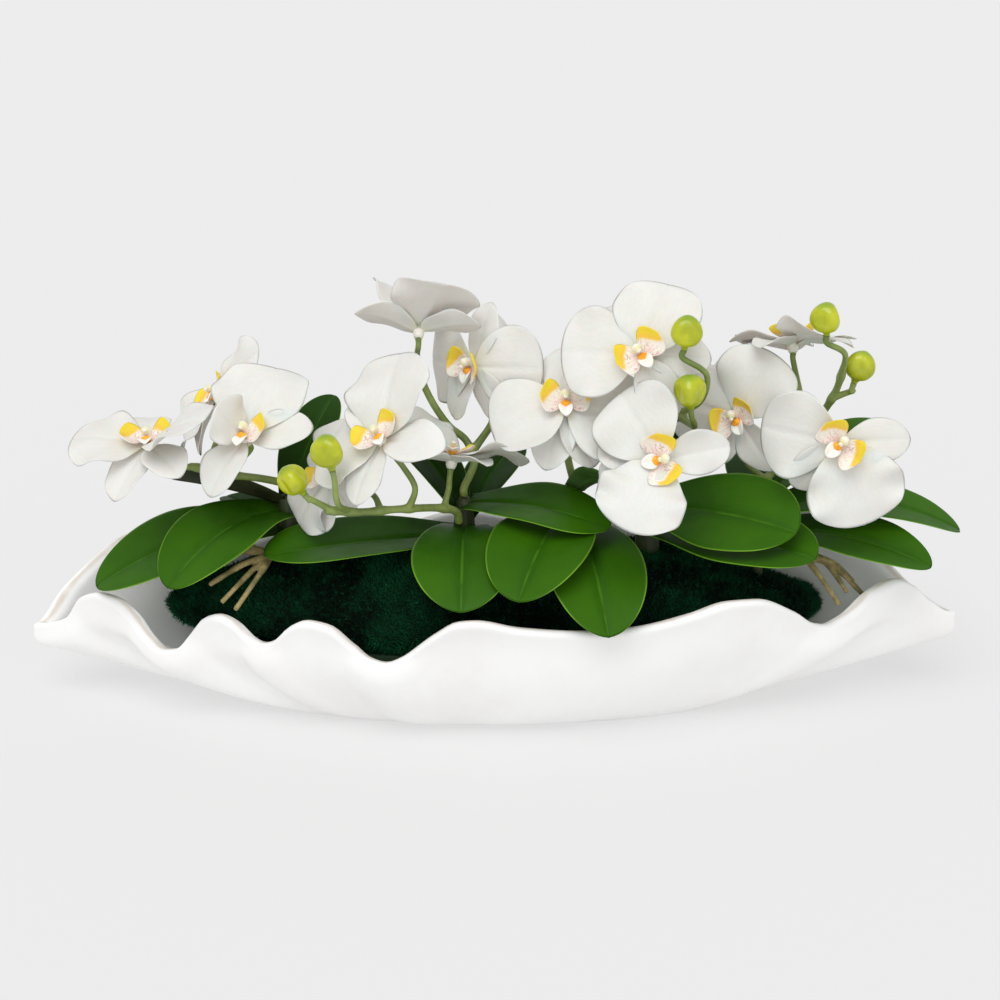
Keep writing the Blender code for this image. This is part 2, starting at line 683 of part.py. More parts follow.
def build():
    clear_scene()
    nodes = new_collection("potted_orchid")

    foam = make_foam()
    moss = make_moss()
    sockets = []
    for name, (x, y) in CROWNS.items():
        crown = turned(name, crown_profile(0.0), 12)
        crown.data.transform(Matrix.Translation(Vector((x, y, 0)) * MM))
        finish(crown, name, "crown", nodes)
        socket = turned(f"{name}_socket", crown_profile(GAP), 12)
        socket.data.transform(Matrix.Translation(Vector((x, y, 0)) * MM))
        socket.hide_render = True
        socket.display_type = "WIRE"
        foam = cut(foam, socket)
        moss = cut(moss, socket)
        sockets.append(socket)
    for socket in sockets:
        bpy.data.objects.remove(socket)
    finish(make_bowl(), "bowl", "bowl", nodes)
    finish(welded(foam), "foam_block", "foam", nodes, smooth=False)
    finish(welded(moss), "moss_mound", "moss", nodes)

    makers = (
        (LEAVES, make_leaf, "leaf"),
        (FLOWERS, make_flower, "flower"),
        (BUDS, make_bud, "bud"),
        (SPIKES, make_spike, "spike"),
        (ROOTS, make_roots, "roots"),
    )
    for table, make, kind in makers:
        for name in table:
            finish(make(name), name, kind, nodes)


build()
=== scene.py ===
"""The looks of white moth orchids in a long ruffled ceramic bowl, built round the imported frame.

Sizes and places in the tables are in millimetres, in the frame's own axes.
"""

import math

import bpy
import numpy as np
from mathutils import Matrix, Vector


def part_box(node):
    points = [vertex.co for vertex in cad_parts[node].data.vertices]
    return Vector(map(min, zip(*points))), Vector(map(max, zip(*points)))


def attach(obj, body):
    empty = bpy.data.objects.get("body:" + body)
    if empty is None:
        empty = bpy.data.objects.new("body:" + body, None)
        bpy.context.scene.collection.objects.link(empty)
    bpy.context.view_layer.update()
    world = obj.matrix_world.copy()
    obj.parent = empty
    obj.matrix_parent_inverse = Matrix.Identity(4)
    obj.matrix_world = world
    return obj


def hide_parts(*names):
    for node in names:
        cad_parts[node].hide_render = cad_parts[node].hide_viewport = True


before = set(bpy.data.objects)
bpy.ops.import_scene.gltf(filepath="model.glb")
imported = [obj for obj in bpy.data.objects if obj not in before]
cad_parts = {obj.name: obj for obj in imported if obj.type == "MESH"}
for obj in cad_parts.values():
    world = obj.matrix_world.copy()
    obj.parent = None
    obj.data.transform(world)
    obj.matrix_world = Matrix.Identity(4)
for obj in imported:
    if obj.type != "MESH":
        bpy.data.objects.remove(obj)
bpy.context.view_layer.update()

MM = 0.001
UP = Vector((0, 0, 1))

# Bowl
HALF_LENGTH = 284.7
HALF_WIDTH = 85.0
TIP_WIDTH = 8.0
RIM_FLARE = 2.4
FOOT = (150.0, 50.0)
FLOOR_THICKNESS = 8.0
WALL = 6.5
TIP_WALL = 12.0
RIM_ROUND = 3.2
BOWL_AROUND = 480
# How far the wall leans out for each mm of rim above this level. At the back it only leans in.
FRONT_LEAN, FRONT_LEVEL = 0.3, 70.0
BACK_LEAN, BACK_LEVEL = 0.12, 90.0
# How far out and how far up the wall is at each level, at the middle and at the two ends.
SECTION_MIDDLE = ((0.0, 0.0), (0.34, 0.08), (0.62, 0.25), (0.84, 0.5), (0.95, 0.76), (1.0, 1.0))
SECTION_ENDS = ((0.0, 0.0), (0.22, 0.15), (0.5, 0.35), (0.85, 0.63), (0.985, 0.75), (1.0, 1.0))
# Height of the ruffled rim along X.
RIM_FRONT = (
    (-285, 46), (-272, 50), (-262, 56), (-252, 71), (-242, 75), (-234, 74), (-226, 69), (-212, 53),
    (-202, 47), (-192, 49), (-181, 61), (-173, 72), (-165, 75), (-156, 71), (-146, 61), (-139, 59),
    (-132, 61), (-121, 73), (-111, 78), (-99, 76), (-84, 63), (-74, 56), (-65, 54), (-54, 58),
    (-35, 74), (-21, 83), (-10, 84), (15, 79), (60, 75), (85, 76), (117, 82), (140, 88), (158, 87),
    (180, 75), (193, 64), (203, 61), (215, 65), (232, 79), (245, 84), (256, 78), (268, 65), (285, 54),
)
RIM_BACK = (
    (-285, 46), (-268, 66), (-250, 82), (-231, 94), (-214, 92), (-190, 80), (-168, 77), (-120, 88),
    (-70, 80), (-20, 90), (40, 80), (95, 90), (150, 84), (180, 98), (205, 109), (221, 101),
    (246, 79), (262, 65), (285, 54),
)

# Planting
MOSS_POWER = 2.3
MOSS_SHOULDER = 15.0
FIBRE_RADIUS = 0.28
# Each layer of fibres: fibres per square metre, their length, and how far they lean
FIBRES = ((1.0e6, 4.2, 0.8), (1.0e6, 3.2, 1.1))
CROWNS = ("crown_left", "crown_middle", "crown_centre", "crown_right", "crown_far_right")
CROWN_RADIUS = 8.0
GAP = 0.4

LEAF_THICKNESS = 1.3
LEAF_FOOT = 1.0  # from a crown's middle out to where its leaves start
# name: crown, height of the base, tip, rise in degrees, width, how much the midrib sinks, roll in degrees
LEAVES = {
    "leaf_left_1": ("crown_left", 110, (-240, -24, 79), 6, 56, 0.12, -16),
    "leaf_left_2": ("crown_left", 119, (-192, -58, 92), 16, 56, 0.12, -9),
    "leaf_left_3": ("crown_left", 124, (-198, 20, 133), 14, 46, 0.3, 30),
    "leaf_left_4": ("crown_left", 104, (-168, 46, 112), 16, 30, 0.2, 0),
    "leaf_left_5": ("crown_left", 121, (-98, 34, 182), 72, 38, 0.16, 0),
    "leaf_middle_1": ("crown_middle", 106, (-136, -42, 106), 4, 56, 0.16, -7),
    "leaf_middle_2": ("crown_middle", 112, (-19, -86, 88), 14, 60, 0.1, 0),
    "leaf_middle_3": ("crown_middle", 126, (68, -42, 123), 14, 52, 0.1, 8),
    "leaf_middle_4": ("crown_middle", 116, (14, 52, 146), 36, 34, 0.2, 0),
    "leaf_middle_5": ("crown_middle", 118, (-60, 30, 160), 60, 38, 0.2, 0),
    "leaf_centre_1": ("crown_centre", 118, (14, -92, 97), 16, 62, 0.08, 0),
    "leaf_centre_2": ("crown_centre", 109, (66, -99, 78), 16, 60, 0.08, 0),
    "leaf_centre_3": ("crown_centre", 130, (96, -66, 140), 46, 34, 0.2, -24),
    "leaf_right_1": ("crown_right", 122, (177, -56, 126), 12, 62, 0.12, 30),
    "leaf_right_2": ("crown_right", 110, (188, -62, 112), 8, 56, 0.12, 18),
    "leaf_right_3": ("crown_right", 116, (116, 56, 196), 72, 38, 0.16, 0),
    "leaf_far_right_1": ("crown_far_right", 108, (260, -40, 98), 12, 46, 0.14, 12),
    "leaf_far_right_2": ("crown_far_right", 119, (285, 6, 104), 20, 44, 0.14, 12),
    "leaf_far_right_3": ("crown_far_right", 124, (240, 40, 163), 46, 38, 0.14, 0),
    "leaf_far_right_4": ("crown_far_right", 112, (160, 72, 138), 40, 34, 0.16, 0),
}

PETAL = (46.0, 54.0)
SEPAL = (40.0, 27.0)
HUB_BACK = 6.0  # from a flower's heart back to the flat end that faces its stalk
# name: heart, the way it faces, the way its top points, size, and the angle of each petal and
# sepal round the heart, with how far each leans forwards, in degrees. The top is at 90.
FLOWERS = {
    "flower_01": ((-204, -25, 170), (-0.12, -0.21, 0.97), (-0.08, 0.98, 0.2), 1.0,
                  ((165, 6), (-25, 30), (90, 0), (-62, 0), (-125, -20))),
    "flower_02": ((-146, -30, 176), (-0.21, -0.54, 0.81), (0.22, 0.79, 0.58), 1.0,
                  ((84, 4), (178, 74), (112, -8), (-111, -6), (15, 4))),
    "flower_03": ((-169, 37, 179), (-0.75, -0.12, 0.58), (-0.11, 0.92, 0.37), 0.9,
                  ((175, 0), (5, 0), (90, -8), (-45, -8), (-135, -8))),
    "flower_04": ((-65, -50, 181), (-0.46, -0.43, 0.78), (-0.31, 0.9, 0.31), 1.0,
                  ((46, 8), (150, -6), (90, 10), (-144, -10), (-47, -6))),
    "flower_05": ((-98, -22, 149), (-0.66, -0.47, 0.58), (-0.26, 0.87, 0.42), 0.8,
                  ((-169, -10), (38, 0), (90, 0), (-128, -10), (-80, -10))),
    "flower_06": ((-45, 15, 229), (0.0, 0.67, 0.74), (-0.91, -0.31, 0.28), 1.0,
                  ((178, 12), (5, 60), (90, 10), (-40, 58), (-140, -4))),
    "flower_07": ((-12, 8, 208), (-0.8, -0.58, 0.12), (0.1, 0.07, 0.99), 0.95,
                  ((-172, 0), (10, -34), (90, -8), (-114, 6), (-50, -16))),
    "flower_08": ((13, 30, 207), (0.49, 0.13, 0.86), (-0.87, 0.18, 0.47), 0.8,
                  ((100, 25), (-55, 0), (60, 40), (-120, -10), (-10, 0))),
    "flower_09": ((42, -20, 194), (0.0, -0.77, 0.64), (-0.03, 0.64, 0.77), 1.0,
                  ((-160, -6), (-22, -6), (90, -8), (-109, -10), (-66, -14))),
    "flower_10": ((85, -34, 227), (-0.13, -0.83, 0.54), (-0.59, 0.5, 0.63), 1.0,
                  ((137, -4), (32, -4), (88, -12), (-38, -8), (-101, -12))),
    "flower_11": ((96, -62, 173), (-0.17, -0.93, 0.34), (0.96, -0.09, 0.25), 1.0,
                  ((-160, -4), (-36, 22), (90, -10), (-116, -14), (-86, -14))),
    "flower_12": ((145, -8, 181), (-0.47, -0.87, 0.14), (-0.44, 0.36, 0.82), 0.95,
                  ((138, -6), (34, -4), (88, -14), (-159, -10), (-87, -10))),
    "flower_13": ((201, -48, 179), (-0.18, -0.97, 0.16), (0.74, -0.03, 0.67), 1.0,
                  ((-140, -2), (-22, -2), (52, -10), (-83, -12), (-56, -14))),
    "flower_14": ((178, 10, 222), (-0.03, 0.45, 0.89), (0.0, -0.89, 0.45), 0.92,
                  ((114, -5), (-72, 12), (172, 6), (-8, 12), (52, -6))),
    "flower_15": ((-25, -16, 158), (0.12, 0.3, 0.95), (0.03, 0.95, -0.3), 0.86,
                  ((165, 34), (-8, 10), (126, 44), (-50, 6), (-130, 0))),
}

# name: middle, the way its nose points, size across
BUDS = {
    "bud_left_1": ((-95, -66, 180), (-0.2, 0.0, 1.0), 19.5),
    "bud_left_2": ((-116, -62, 161), (-0.6, 0.0, 0.8), 18.0),
    "bud_middle_1": ((110, -48, 246), (0.1, -0.1, 1.0), 18.5),
    "bud_middle_2": ((112, -56, 213), (-0.1, -0.2, 1.0), 19.0),
    "bud_right_1": ((191, -34, 250), (-0.1, -0.2, 1.0), 18.0),
    "bud_right_2": ((216, -10, 214), (0.3, 0.0, 1.0), 18.0),
}
BUD_STEM = 0.62  # from a bud's middle back to its flat end, as a part of its size

STEM_RADIUS = 2.5
STALK_RADIUS = 1.7
# name: the stem's path, then one stalk for each flower or bud, with the points that it leaves by
SPIKES = {
    "spike_left": (
        ((-125, 0, 130.6), (-125.6, -0.4, 136), (-138, -7, 142), (-158, -13, 147), (-170, -16, 151),
         (-181, -18, 154)),
        {
            "flower_01": ((-176, -17, 153), (-190, -21, 155)),
            "flower_02": ((-156, -13, 147), (-151, -19, 157)),
            "flower_03": ((-166, -15, 150), (-168, -2, 160)),
        },
    ),
    "spike_front": (
        ((-21, -17, 118), (-23, -20, 126), (-34, -30, 132), (-56, -46, 137), (-78, -56, 139),
         (-97, -62, 142)),
        {
            "flower_04": ((-50, -42, 136), (-46, -46, 150), (-52, -46, 162)),
            "flower_05": ((-66, -51, 138), (-72, -36, 143)),
            "flower_15": ((-30, -26, 130), (-27, -20, 140)),
            "bud_left_1": ((-84, -58, 140), (-90, -66, 148)),
            "bud_left_2": ((-93, -60, 141), (-106, -62, 149)),
        },
    ),
    "spike_middle": (
        ((-18, -5, 130.6), (-18, -4.6, 136), (-12, 9, 147), (-17, 18, 158), (-27, 18, 167),
         (-36, 18, 180), (-43, 20, 194), (-47, 22, 206)),
        {
            "flower_06": ((-44, 20, 197), (-46, 15, 212)),
            "flower_07": ((-14, 13, 152), (-1, 22, 170), (1, 19, 192)),
            "flower_08": ((-14, 12, 151), (6, 29, 177)),
        },
    ),
    "spike_centre": (
        ((48, 6, 130.6), (48, 6.4, 136), (45, 16, 154), (56, 16, 172), (74, 4, 182), (93, -12, 186),
         (112, -30, 188)),
        {
            "flower_09": ((46, 17, 158), (41, 6, 172)),
            "flower_10": ((74, 4, 182), (84, -6, 200)),
            "flower_11": ((92, -11, 186), (98, -30, 182)),
            "bud_middle_1": ((106, -24, 188), (120, -36, 200), (122, -48, 220)),
            "bud_middle_2": ((109, -28, 188), (116, -46, 188)),
        },
    ),
    "spike_right": (
        ((160, -4, 131.2), (160.2, -4, 136), (176, 3, 152), (192, 4, 172), (202, -6, 195),
         (205, -16, 213)),
        {
            "flower_12": ((164, -3, 139), (152, 6, 150), (149, 10, 168)),
            "flower_13": ((184, 4, 160), (195, -14, 166)),
            "flower_14": ((190, 4, 169), (184, 6, 190)),
            "bud_right_1": ((204, -14, 208), (204, -27, 226)),
            "bud_right_2": ((201, -4, 192), (212, -9, 198)),
        },
    ),
}

ROOT_RADIUS = 1.7
# name: the knot the roots leave, then each root's tip
ROOTS = {
    "roots_left": (
        (-133, -28, 101.5),
        ((-168, -50, 91), (-172, -40, 94), (-160, -60, 84), (-164, -34, 98), (-152, -62, 80)),
    ),
    "roots_right": (
        (186, -20, 98),
        ((224, -20, 72), (219, -8, 76), (213, -25, 76), (207, -34, 72)),
    ),
}

BLADE = 0.9  # a petal's thickness
LIP_LOBE = (17.0, 21.0)
TONGUE = (12.0, 9.0)

# Leaves in deep shade behind the flowers, painted darker on both sides as painted shade
SHADED_LEAVES = (
    "leaf_left_3", "leaf_left_4", "leaf_left_5", "leaf_middle_4", "leaf_middle_5", "leaf_right_3",
    "leaf_far_right_4",
)

# How a named petal or sepal differs from the usual form of its kind
PETAL_FORMS = {
    ("flower_02", "petal_0"): {"size": 1.12, "fold": 4.0},
    ("flower_02", "petal_1"): {"size": 0.6},
    ("flower_03", "sepal_0"): {"slim": 0.45, "fold": 30.0},
    ("flower_04", "petal_0"): {"size": 1.14, "lean": 12.0, "fold": 3.0, "fold_right": 2.0, "droop": 0.12},
    ("flower_04", "sepal_2"): {"size": 1.1, "lean": 6.0},
    ("flower_05", "petal_0"): {"wave": 0.2},
    ("flower_09", "petal_0"): {"fold": 22.0, "wave": 0.04},
    ("flower_09", "petal_1"): {"size": 1.05, "fold_right": 4.0},
    ("flower_11", "sepal_0"): {"fold": 20.0, "wave": 0.18},
    ("flower_11", "petal_1"): {"wave": 0.16, "waves": 2.4},
    ("flower_13", "petal_1"): {"size": 1.08, "wave": 0.16, "waves": 2.2},
    ("flower_15", "petal_0"): {"size": 1.15},
    ("flower_15", "petal_1"): {"size": 1.15},
}

BUD_PROFILE = (
    (0.1, -BUD_STEM), (0.16, -0.5), (0.36, -0.38), (0.49, -0.16), (0.5, 0.06),
    (0.42, 0.27), (0.26, 0.42), (0.08, 0.5),
)

# Studio: name, strength, angle of the source, elevation and azimuth it comes from, in degrees
LIGHTS = (("key", 1.35, 45.0, 60.0, -20.0), ("fill", 0.55, 70.0, 12.0, 6.0))
SKY = 0.66
FLOOR_COLOUR = (0.32, 0.32, 0.32, 1.0)
FLOOR_GLOW = 0.5  # the floor is a lit sweep
FLOOR_REACH = 12.0  # metres
FLOOR_CORNERS = ((-1, -1), (1, -1), (1, 1), (-1, 1))
CAMERA_LENS = 85.0
CAMERA_ELEVATION = 20.0
CAMERA_TARGET = (0.0036, 0.0, 0.126)  # metres
CAMERA_DISTANCE = 1.431


def colour(code):
    """A linear colour from its sRGB hex code."""
    parts = [int(code[i : i + 2], 16) / 255 for i in (0, 2, 4)]
    return (*(p / 12.92 if p <= 0.04045 else ((p + 0.055) / 1.055) ** 2.4 for p in parts), 1.0)


# ---------------------------- nodes


def node(tree, kind, values=None, **settings):
    """A new node. values gives each input, by name or number, a plain value or the socket that feeds it."""
    made = tree.nodes.new(kind)
    for key, value in settings.items():
        setattr(made, key, value)
    for key, value in (values or {}).items():
        if isinstance(value, bpy.types.NodeSocket):
            tree.links.new(value, made.inputs[key])
        else:
            made.inputs[key].default_value = value
    return made


def maths(tree, operation, *values, clamp=False):
    made = node(tree, "ShaderNodeMath", dict(enumerate(values)), operation=operation, use_clamp=clamp)
    return made.outputs[0]


def rise(tree, value, low, high):
    """0 below low and 1 above high, eased between."""
    values = {"Value": value, "From Min": low, "From Max": high}
    return node(tree, "ShaderNodeMapRange", values, interpolation_type="SMOOTHSTEP").outputs["Result"]


def noise(tree, vector, scale, detail=2.0, roughness=0.5):
    values = {"Vector": vector, "Scale": scale, "Detail": detail, "Roughness": roughness}
    return node(tree, "ShaderNodeTexNoise", values).outputs["Fac"]


def new_group(name, inputs):
    """A shader group with these inputs, a vector where no start is given, and its mask's end."""
    tree = bpy.data.node_groups.new(name, "ShaderNodeTree")
    for label, start in inputs.items():
        kind = "NodeSocketVector" if start is None else "NodeSocketFloat"
        socket = tree.interface.new_socket(name=label, in_out="INPUT", socket_type=kind)
        if start is not None:
            socket.default_value = start
    tree.interface.new_socket(name="Mask", in_out="OUTPUT", socket_type="NodeSocketFloat")
    return tree, tree.nodes.new("NodeGroupInput").outputs, tree.nodes.new("NodeGroupOutput").inputs["Mask"]


def make_vein_group():
    """Veins that run from a blade's base to its tip and spread with its width."""
    tree, given, mask = new_group("veins", {"UV": None, "Count": 20.0, "Thinness": 6.0, "Wander": 0.03})
    stretch = {0: given["UV"], 1: (2.0, 5.0, 1.0)}
    stretched = node(tree, "ShaderNodeVectorMath", stretch, operation="MULTIPLY").outputs[0]
    sway = maths(tree, "SUBTRACT", noise(tree, stretched, 1.6), 0.5)
    sway = maths(tree, "MULTIPLY", sway, given["Wander"])
    across = node(tree, "ShaderNodeSeparateXYZ", {"Vector": given["UV"]}).outputs["X"]
    turn = maths(tree, "MULTIPLY", maths(tree, "ADD", across, sway), given["Count"])
    ridge = maths(tree, "ABSOLUTE", maths(tree, "SINE", maths(tree, "MULTIPLY", turn, math.pi)))
    tree.links.new(maths(tree, "POWER", ridge, given["Thinness"]), mask)
    return tree


def make_mottle_group():
    """Soft patches over a surface, from 0 to 1."""
    tree, given, mask = new_group("mottle", {"Place": None, "Scale": 60.0, "Low": 0.35, "High": 0.65})
    patches = noise(tree, given["Place"], given["Scale"], 4.0, 0.6)
    tree.links.new(rise(tree, patches, given["Low"], given["High"]), mask)
    return tree


VEINS = make_vein_group()
MOTTLE = make_mottle_group()


# ---------------------------- materials


class Finish:
    """A material as it is painted: a base colour, then one tint after another, then its relief."""

    def __init__(self, name, **numbers):
        """numbers are uniform values for the shader's own sockets."""
        self.material = bpy.data.materials.new(name)
        self.material.use_nodes = True
        self.tree = self.material.node_tree
        self.shader = self.tree.nodes["Principled BSDF"]
        self.place = node(self.tree, "ShaderNodeTexCoord").outputs["Object"]
        self.body = None
        for key, value in numbers.items():
            self.shader.inputs[key.replace("_", " ")].default_value = value

    def uv(self):
        return node(self.tree, "ShaderNodeUVMap", uv_map="UVMap").outputs["UV"]

    def across_and_along(self):
        """Across the piece from 0 to 1, and along it from 0 at its base to 1 at its tip."""
        parts = node(self.tree, "ShaderNodeSeparateXYZ", {"Vector": self.uv()}).outputs
        return parts["X"], parts["Y"]

    def maths(self, operation, *values, clamp=False):
        return maths(self.tree, operation, *values, clamp=clamp)

    def times(self, product, *others):
        for other in others:
            product = self.maths("MULTIPLY", product, other)
        return product

    def rise(self, value, low, high):
        return rise(self.tree, value, low, high)

    def fall(self, value, low, high):
        """1 below low and 0 above high, eased between."""
        return self.maths("SUBTRACT", 1.0, self.rise(value, low, high))

    def grain(self, scale, detail=2.0):
        return noise(self.tree, self.place, scale, detail)

    def patches(self, scale, low=0.35, high=0.65):
        values = {"Place": self.place, "Scale": scale, "Low": low, "High": high}
        return node(self.tree, "ShaderNodeGroup", values, node_tree=MOTTLE).outputs["Mask"]

    def veins(self, count, thinness, wander):
        values = {"UV": self.uv(), "Count": count, "Thinness": thinness, "Wander": wander}
        return node(self.tree, "ShaderNodeGroup", values, node_tree=VEINS).outputs["Mask"]

    def between(self, factor, first, second):
        """The first colour turned into the second by the factor. A colour is a hex code or a socket."""
        first, second = (colour(c) if isinstance(c, str) else c for c in (first, second))
        return node(self.tree, "ShaderNodeMix", {0: factor, 6: first, 7: second}, data_type="RGBA").outputs[2]

    def base(self, factor, first, second):
        self.body = self.between(factor, first, second)

    def tint(self, mask, shade, strength=None):
        factor = mask if strength is None else self.times(mask, strength)
        self.body = self.between(factor, self.body, shade)

    def feed(self, socket, value):
        self.tree.links.new(value, self.shader.inputs[socket])

    def done(self, height=None, strength=0.0, distance=0.0):
        """The material, with its colour and, where a height is given, its relief of this many mm."""
        self.feed("Base Color", self.body)
        if height is not None:
            values = {"Height": height, "Strength": strength, "Distance": distance * MM}
            self.feed("Normal", node(self.tree, "ShaderNodeBump", values).outputs["Normal"])
        return self.material


def make_glaze():
    paint = Finish("white_glaze", Roughness=0.5, Specular_IOR_Level=0.35)
    _, up = paint.across_and_along()
    paint.base(paint.patches(14.0), "f3f2f1", "f8f8f7")
    paint.tint(paint.patches(900.0, 0.7, 0.76), "b9b4aa", 0.12)
    # A thin line where the glaze thins on the rim, at 1.0 along the wall.
    edge = paint.maths("ABSOLUTE", paint.maths("SUBTRACT", up, 1.0))
    wobble = paint.times(paint.grain(70.0, 4.0), 0.03)
    line = paint.fall(paint.maths("SUBTRACT", edge, wobble), -0.012, 0.014)
    broken = paint.maths("MULTIPLY_ADD", paint.rise(paint.grain(38.0, 3.0), 0.3, 0.5), 0.35, 0.1)
    paint.tint(paint.maths("MULTIPLY", line, broken, clamp=True), "b9a184")
    paint.feed("Roughness", paint.maths("MULTIPLY_ADD", paint.patches(120.0), 0.08, 0.42))
    return paint.done(paint.grain(260.0, 3.0), 0.12, 0.25)


def make_foam_finish():
    paint = Finish("green_foam", Roughness=0.95)
    cells = paint.grain(900.0, 3.0)
    paint.base(cells, "2f4a30", "47664a")
    return paint.done(cells, 0.6, 0.6)


def make_moss_ground():
    paint = Finish("moss_ground", Roughness=0.95, Specular_IOR_Level=0.1)
    paint.base(paint.patches(45.0, 0.3, 0.7), "06150d", "0d2c1b")
    return paint.done(paint.grain(700.0, 4.0), 0.8, 1.5)


def make_fibre_finish():
    """Green flock, with painted highlights as a few bright grains at the fibre tips, and painted shade
    darkening each fibre towards its foot.
    """
    paint = Finish("moss_fibre", Roughness=0.8, Specular_IOR_Level=0.15)
    tip = node(paint.tree, "ShaderNodeAttribute", attribute_name="tip").outputs["Fac"]
    paint.base(paint.patches(30.0, 0.42, 0.66), "061a0b", "17663a")
    paint.tint(paint.patches(300.0, 0.52, 0.7), "187049")
    # Painted highlight: bright teal grains on the fibre tips
    paint.tint(paint.times(paint.patches(420.0, 0.62, 0.7), tip), "52c79a")
    # Painted shade: each fibre darkens to near black at its foot
    paint.base(paint.maths("MULTIPLY_ADD", tip, 0.8, 0.2), "020a05", paint.body)
    return paint.done()


def make_leaf_top(name, foot, end, lit):
    """Green from the foot's colour to the end's, with lit patches, painted shade in a darker band along the
    midrib crease, a pale midrib and a pale edge.
    """
    paint = Finish(name, Roughness=0.42, Specular_IOR_Level=0.1)
    across, along = paint.across_and_along()
    paint.base(paint.rise(along, 0.0, 0.85), foot, end)
    paint.tint(paint.patches(26.0), lit, 0.45)
    middle = paint.maths("ABSOLUTE", paint.maths("SUBTRACT", across, 0.5))
    # Painted shade: a darker band along the crease of the midrib
    paint.tint(paint.fall(middle, 0.01, 0.16), "1d4705", 0.35)
    lines = paint.veins(21.0, 8.0, 0.05)
    paint.tint(lines, "5d8f35", 0.03)
    fading = paint.times(paint.rise(along, 0.1, 0.5), paint.patches(60.0, 0.3, 0.6))
    paint.tint(paint.times(paint.fall(middle, 0.002, 0.026), fading), "5f9a24", 0.32)
    paint.tint(paint.rise(middle, 0.478, 0.496), "7fb332", 0.85)
    paint.feed("Roughness", paint.maths("MULTIPLY_ADD", paint.patches(90.0), 0.1, 0.38))
    return paint.done(paint.maths("MULTIPLY_ADD", lines, 0.08, paint.grain(300.0, 3.0)), 0.08, 0.35)


def make_leaf_under(name, first, second):
    paint = Finish(name, Roughness=0.6, Specular_IOR_Level=0.2)
    paint.base(paint.patches(40.0), first, second)
    lines = paint.veins(21.0, 8.0, 0.05)
    paint.tint(lines, "6d9450", 0.15)
    return paint.done(lines, 0.15, 0.4)


def make_sheath_and_shade_finish():
    paint = Finish("crown_sheath_and_shade", Roughness=0.5)
    stretch = {"Vector": paint.place, "Scale": (1.0, 1.0, 0.15)}
    lines = noise(paint.tree, node(paint.tree, "ShaderNodeMapping", stretch).outputs["Vector"], 700.0, 3.0)
    # The sheath's own olive-brown lines, painted darker than the sheath is, as painted shade between the leaf
    # bases
    paint.base(lines, "1c280c", "3f4b22")
    return paint.done(lines, 0.4, 0.5)


def make_petal_finish():
    flesh = {"Subsurface_Weight": 0.15, "Subsurface_Scale": 0.004}
    paint = Finish("petal", Roughness=0.55, Specular_IOR_Level=0.3, **flesh)
    _, along = paint.across_and_along()
    paint.base(paint.patches(55.0, 0.3, 0.7), "dddcd6", "e3e2de")
    lines = paint.veins(15.0, 10.0, 0.22)
    paint.tint(paint.times(lines, paint.fall(along, 0.55, 0.95)), "cfcfbd", 0.1)
    paint.tint(paint.fall(along, 0.02, 0.22), "d9d8b8", 0.5)
    return paint.done(paint.maths("MULTIPLY_ADD", lines, 0.8, paint.grain(500.0, 3.0)), 0.16, 0.35)


def make_lip_finish():
    """Cream, with a yellow blotch at the outer upper corner and fine pink-brown veins from the heart."""
    flesh = {"Subsurface_Weight": 0.12, "Subsurface_Scale": 0.003}
    paint = Finish("lip", Roughness=0.5, Specular_IOR_Level=0.3, **flesh)
    across, along = paint.across_and_along()
    paint.base(paint.patches(120.0), "efe6da", "f2ece3")
    lines = paint.veins(6.0, 16.0, 0.5)
    reach = paint.times(paint.fall(along, 0.35, 0.8), paint.patches(240.0, 0.3, 0.6))
    lower = paint.fall(across, 0.4, 0.8)
    paint.tint(paint.times(lines, reach), paint.between(lower, "b5876a", "bd6f7c"), 0.8)
    paint.tint(paint.times(lower, paint.fall(along, 0.1, 0.6)), "d8a3a0", 0.35)
    corner = paint.maths("MULTIPLY_ADD", across, 0.75, along)
    ragged = paint.maths("MULTIPLY_ADD", paint.grain(220.0, 3.0), 0.2, corner)
    yellow = paint.between(paint.rise(ragged, 1.2, 1.45), "f1c846", "f0d63a")
    paint.tint(paint.rise(ragged, 1.04, 1.2), yellow)
    return paint.done(lines, 0.15, 0.3)


def make_midlobe_finish():
    paint = Finish("lip_tongue", Roughness=0.5, Subsurface_Weight=0.12, Subsurface_Scale=0.003)
    _, along = paint.across_and_along()
    paint.base(paint.patches(150.0), "f4eee4", "f8f6f2")
    paint.tint(paint.fall(along, 0.1, 0.45), "d9a3a0", 0.5)
    return paint.done(paint.grain(600.0), 0.15, 0.3)


def make_column_finish():
    paint = Finish("column", Roughness=0.45, Subsurface_Weight=0.1, Subsurface_Scale=0.003)
    _, along = paint.across_and_along()
    paint.base(paint.patches(180.0), "f0ebdc", "f7f4ec")
    paint.tint(paint.rise(along, 0.75, 1.0), "dcdc8e", 0.6)
    return paint.done(paint.grain(700.0), 0.15, 0.3)


def make_callus_finish():
    paint = Finish("callus", Roughness=0.4)
    paint.base(paint.patches(420.0, 0.4, 0.6), "fdb515", "f59a12")
    return paint.done(paint.grain(900.0), 0.3, 0.3)


def make_stem_finish():
    paint = Finish("stem", Roughness=0.45, Coat_Weight=0.08)
    paint.base(paint.patches(55.0), "6b7d38", "8a9a52")
    paint.tint(paint.patches(800.0, 0.62, 0.7), "6a4c2a", 0.7)
    paint.tint(paint.patches(30.0, 0.55, 0.75), "7b6a34", 0.35)
    return paint.done(paint.grain(500.0, 4.0), 0.3, 0.4)


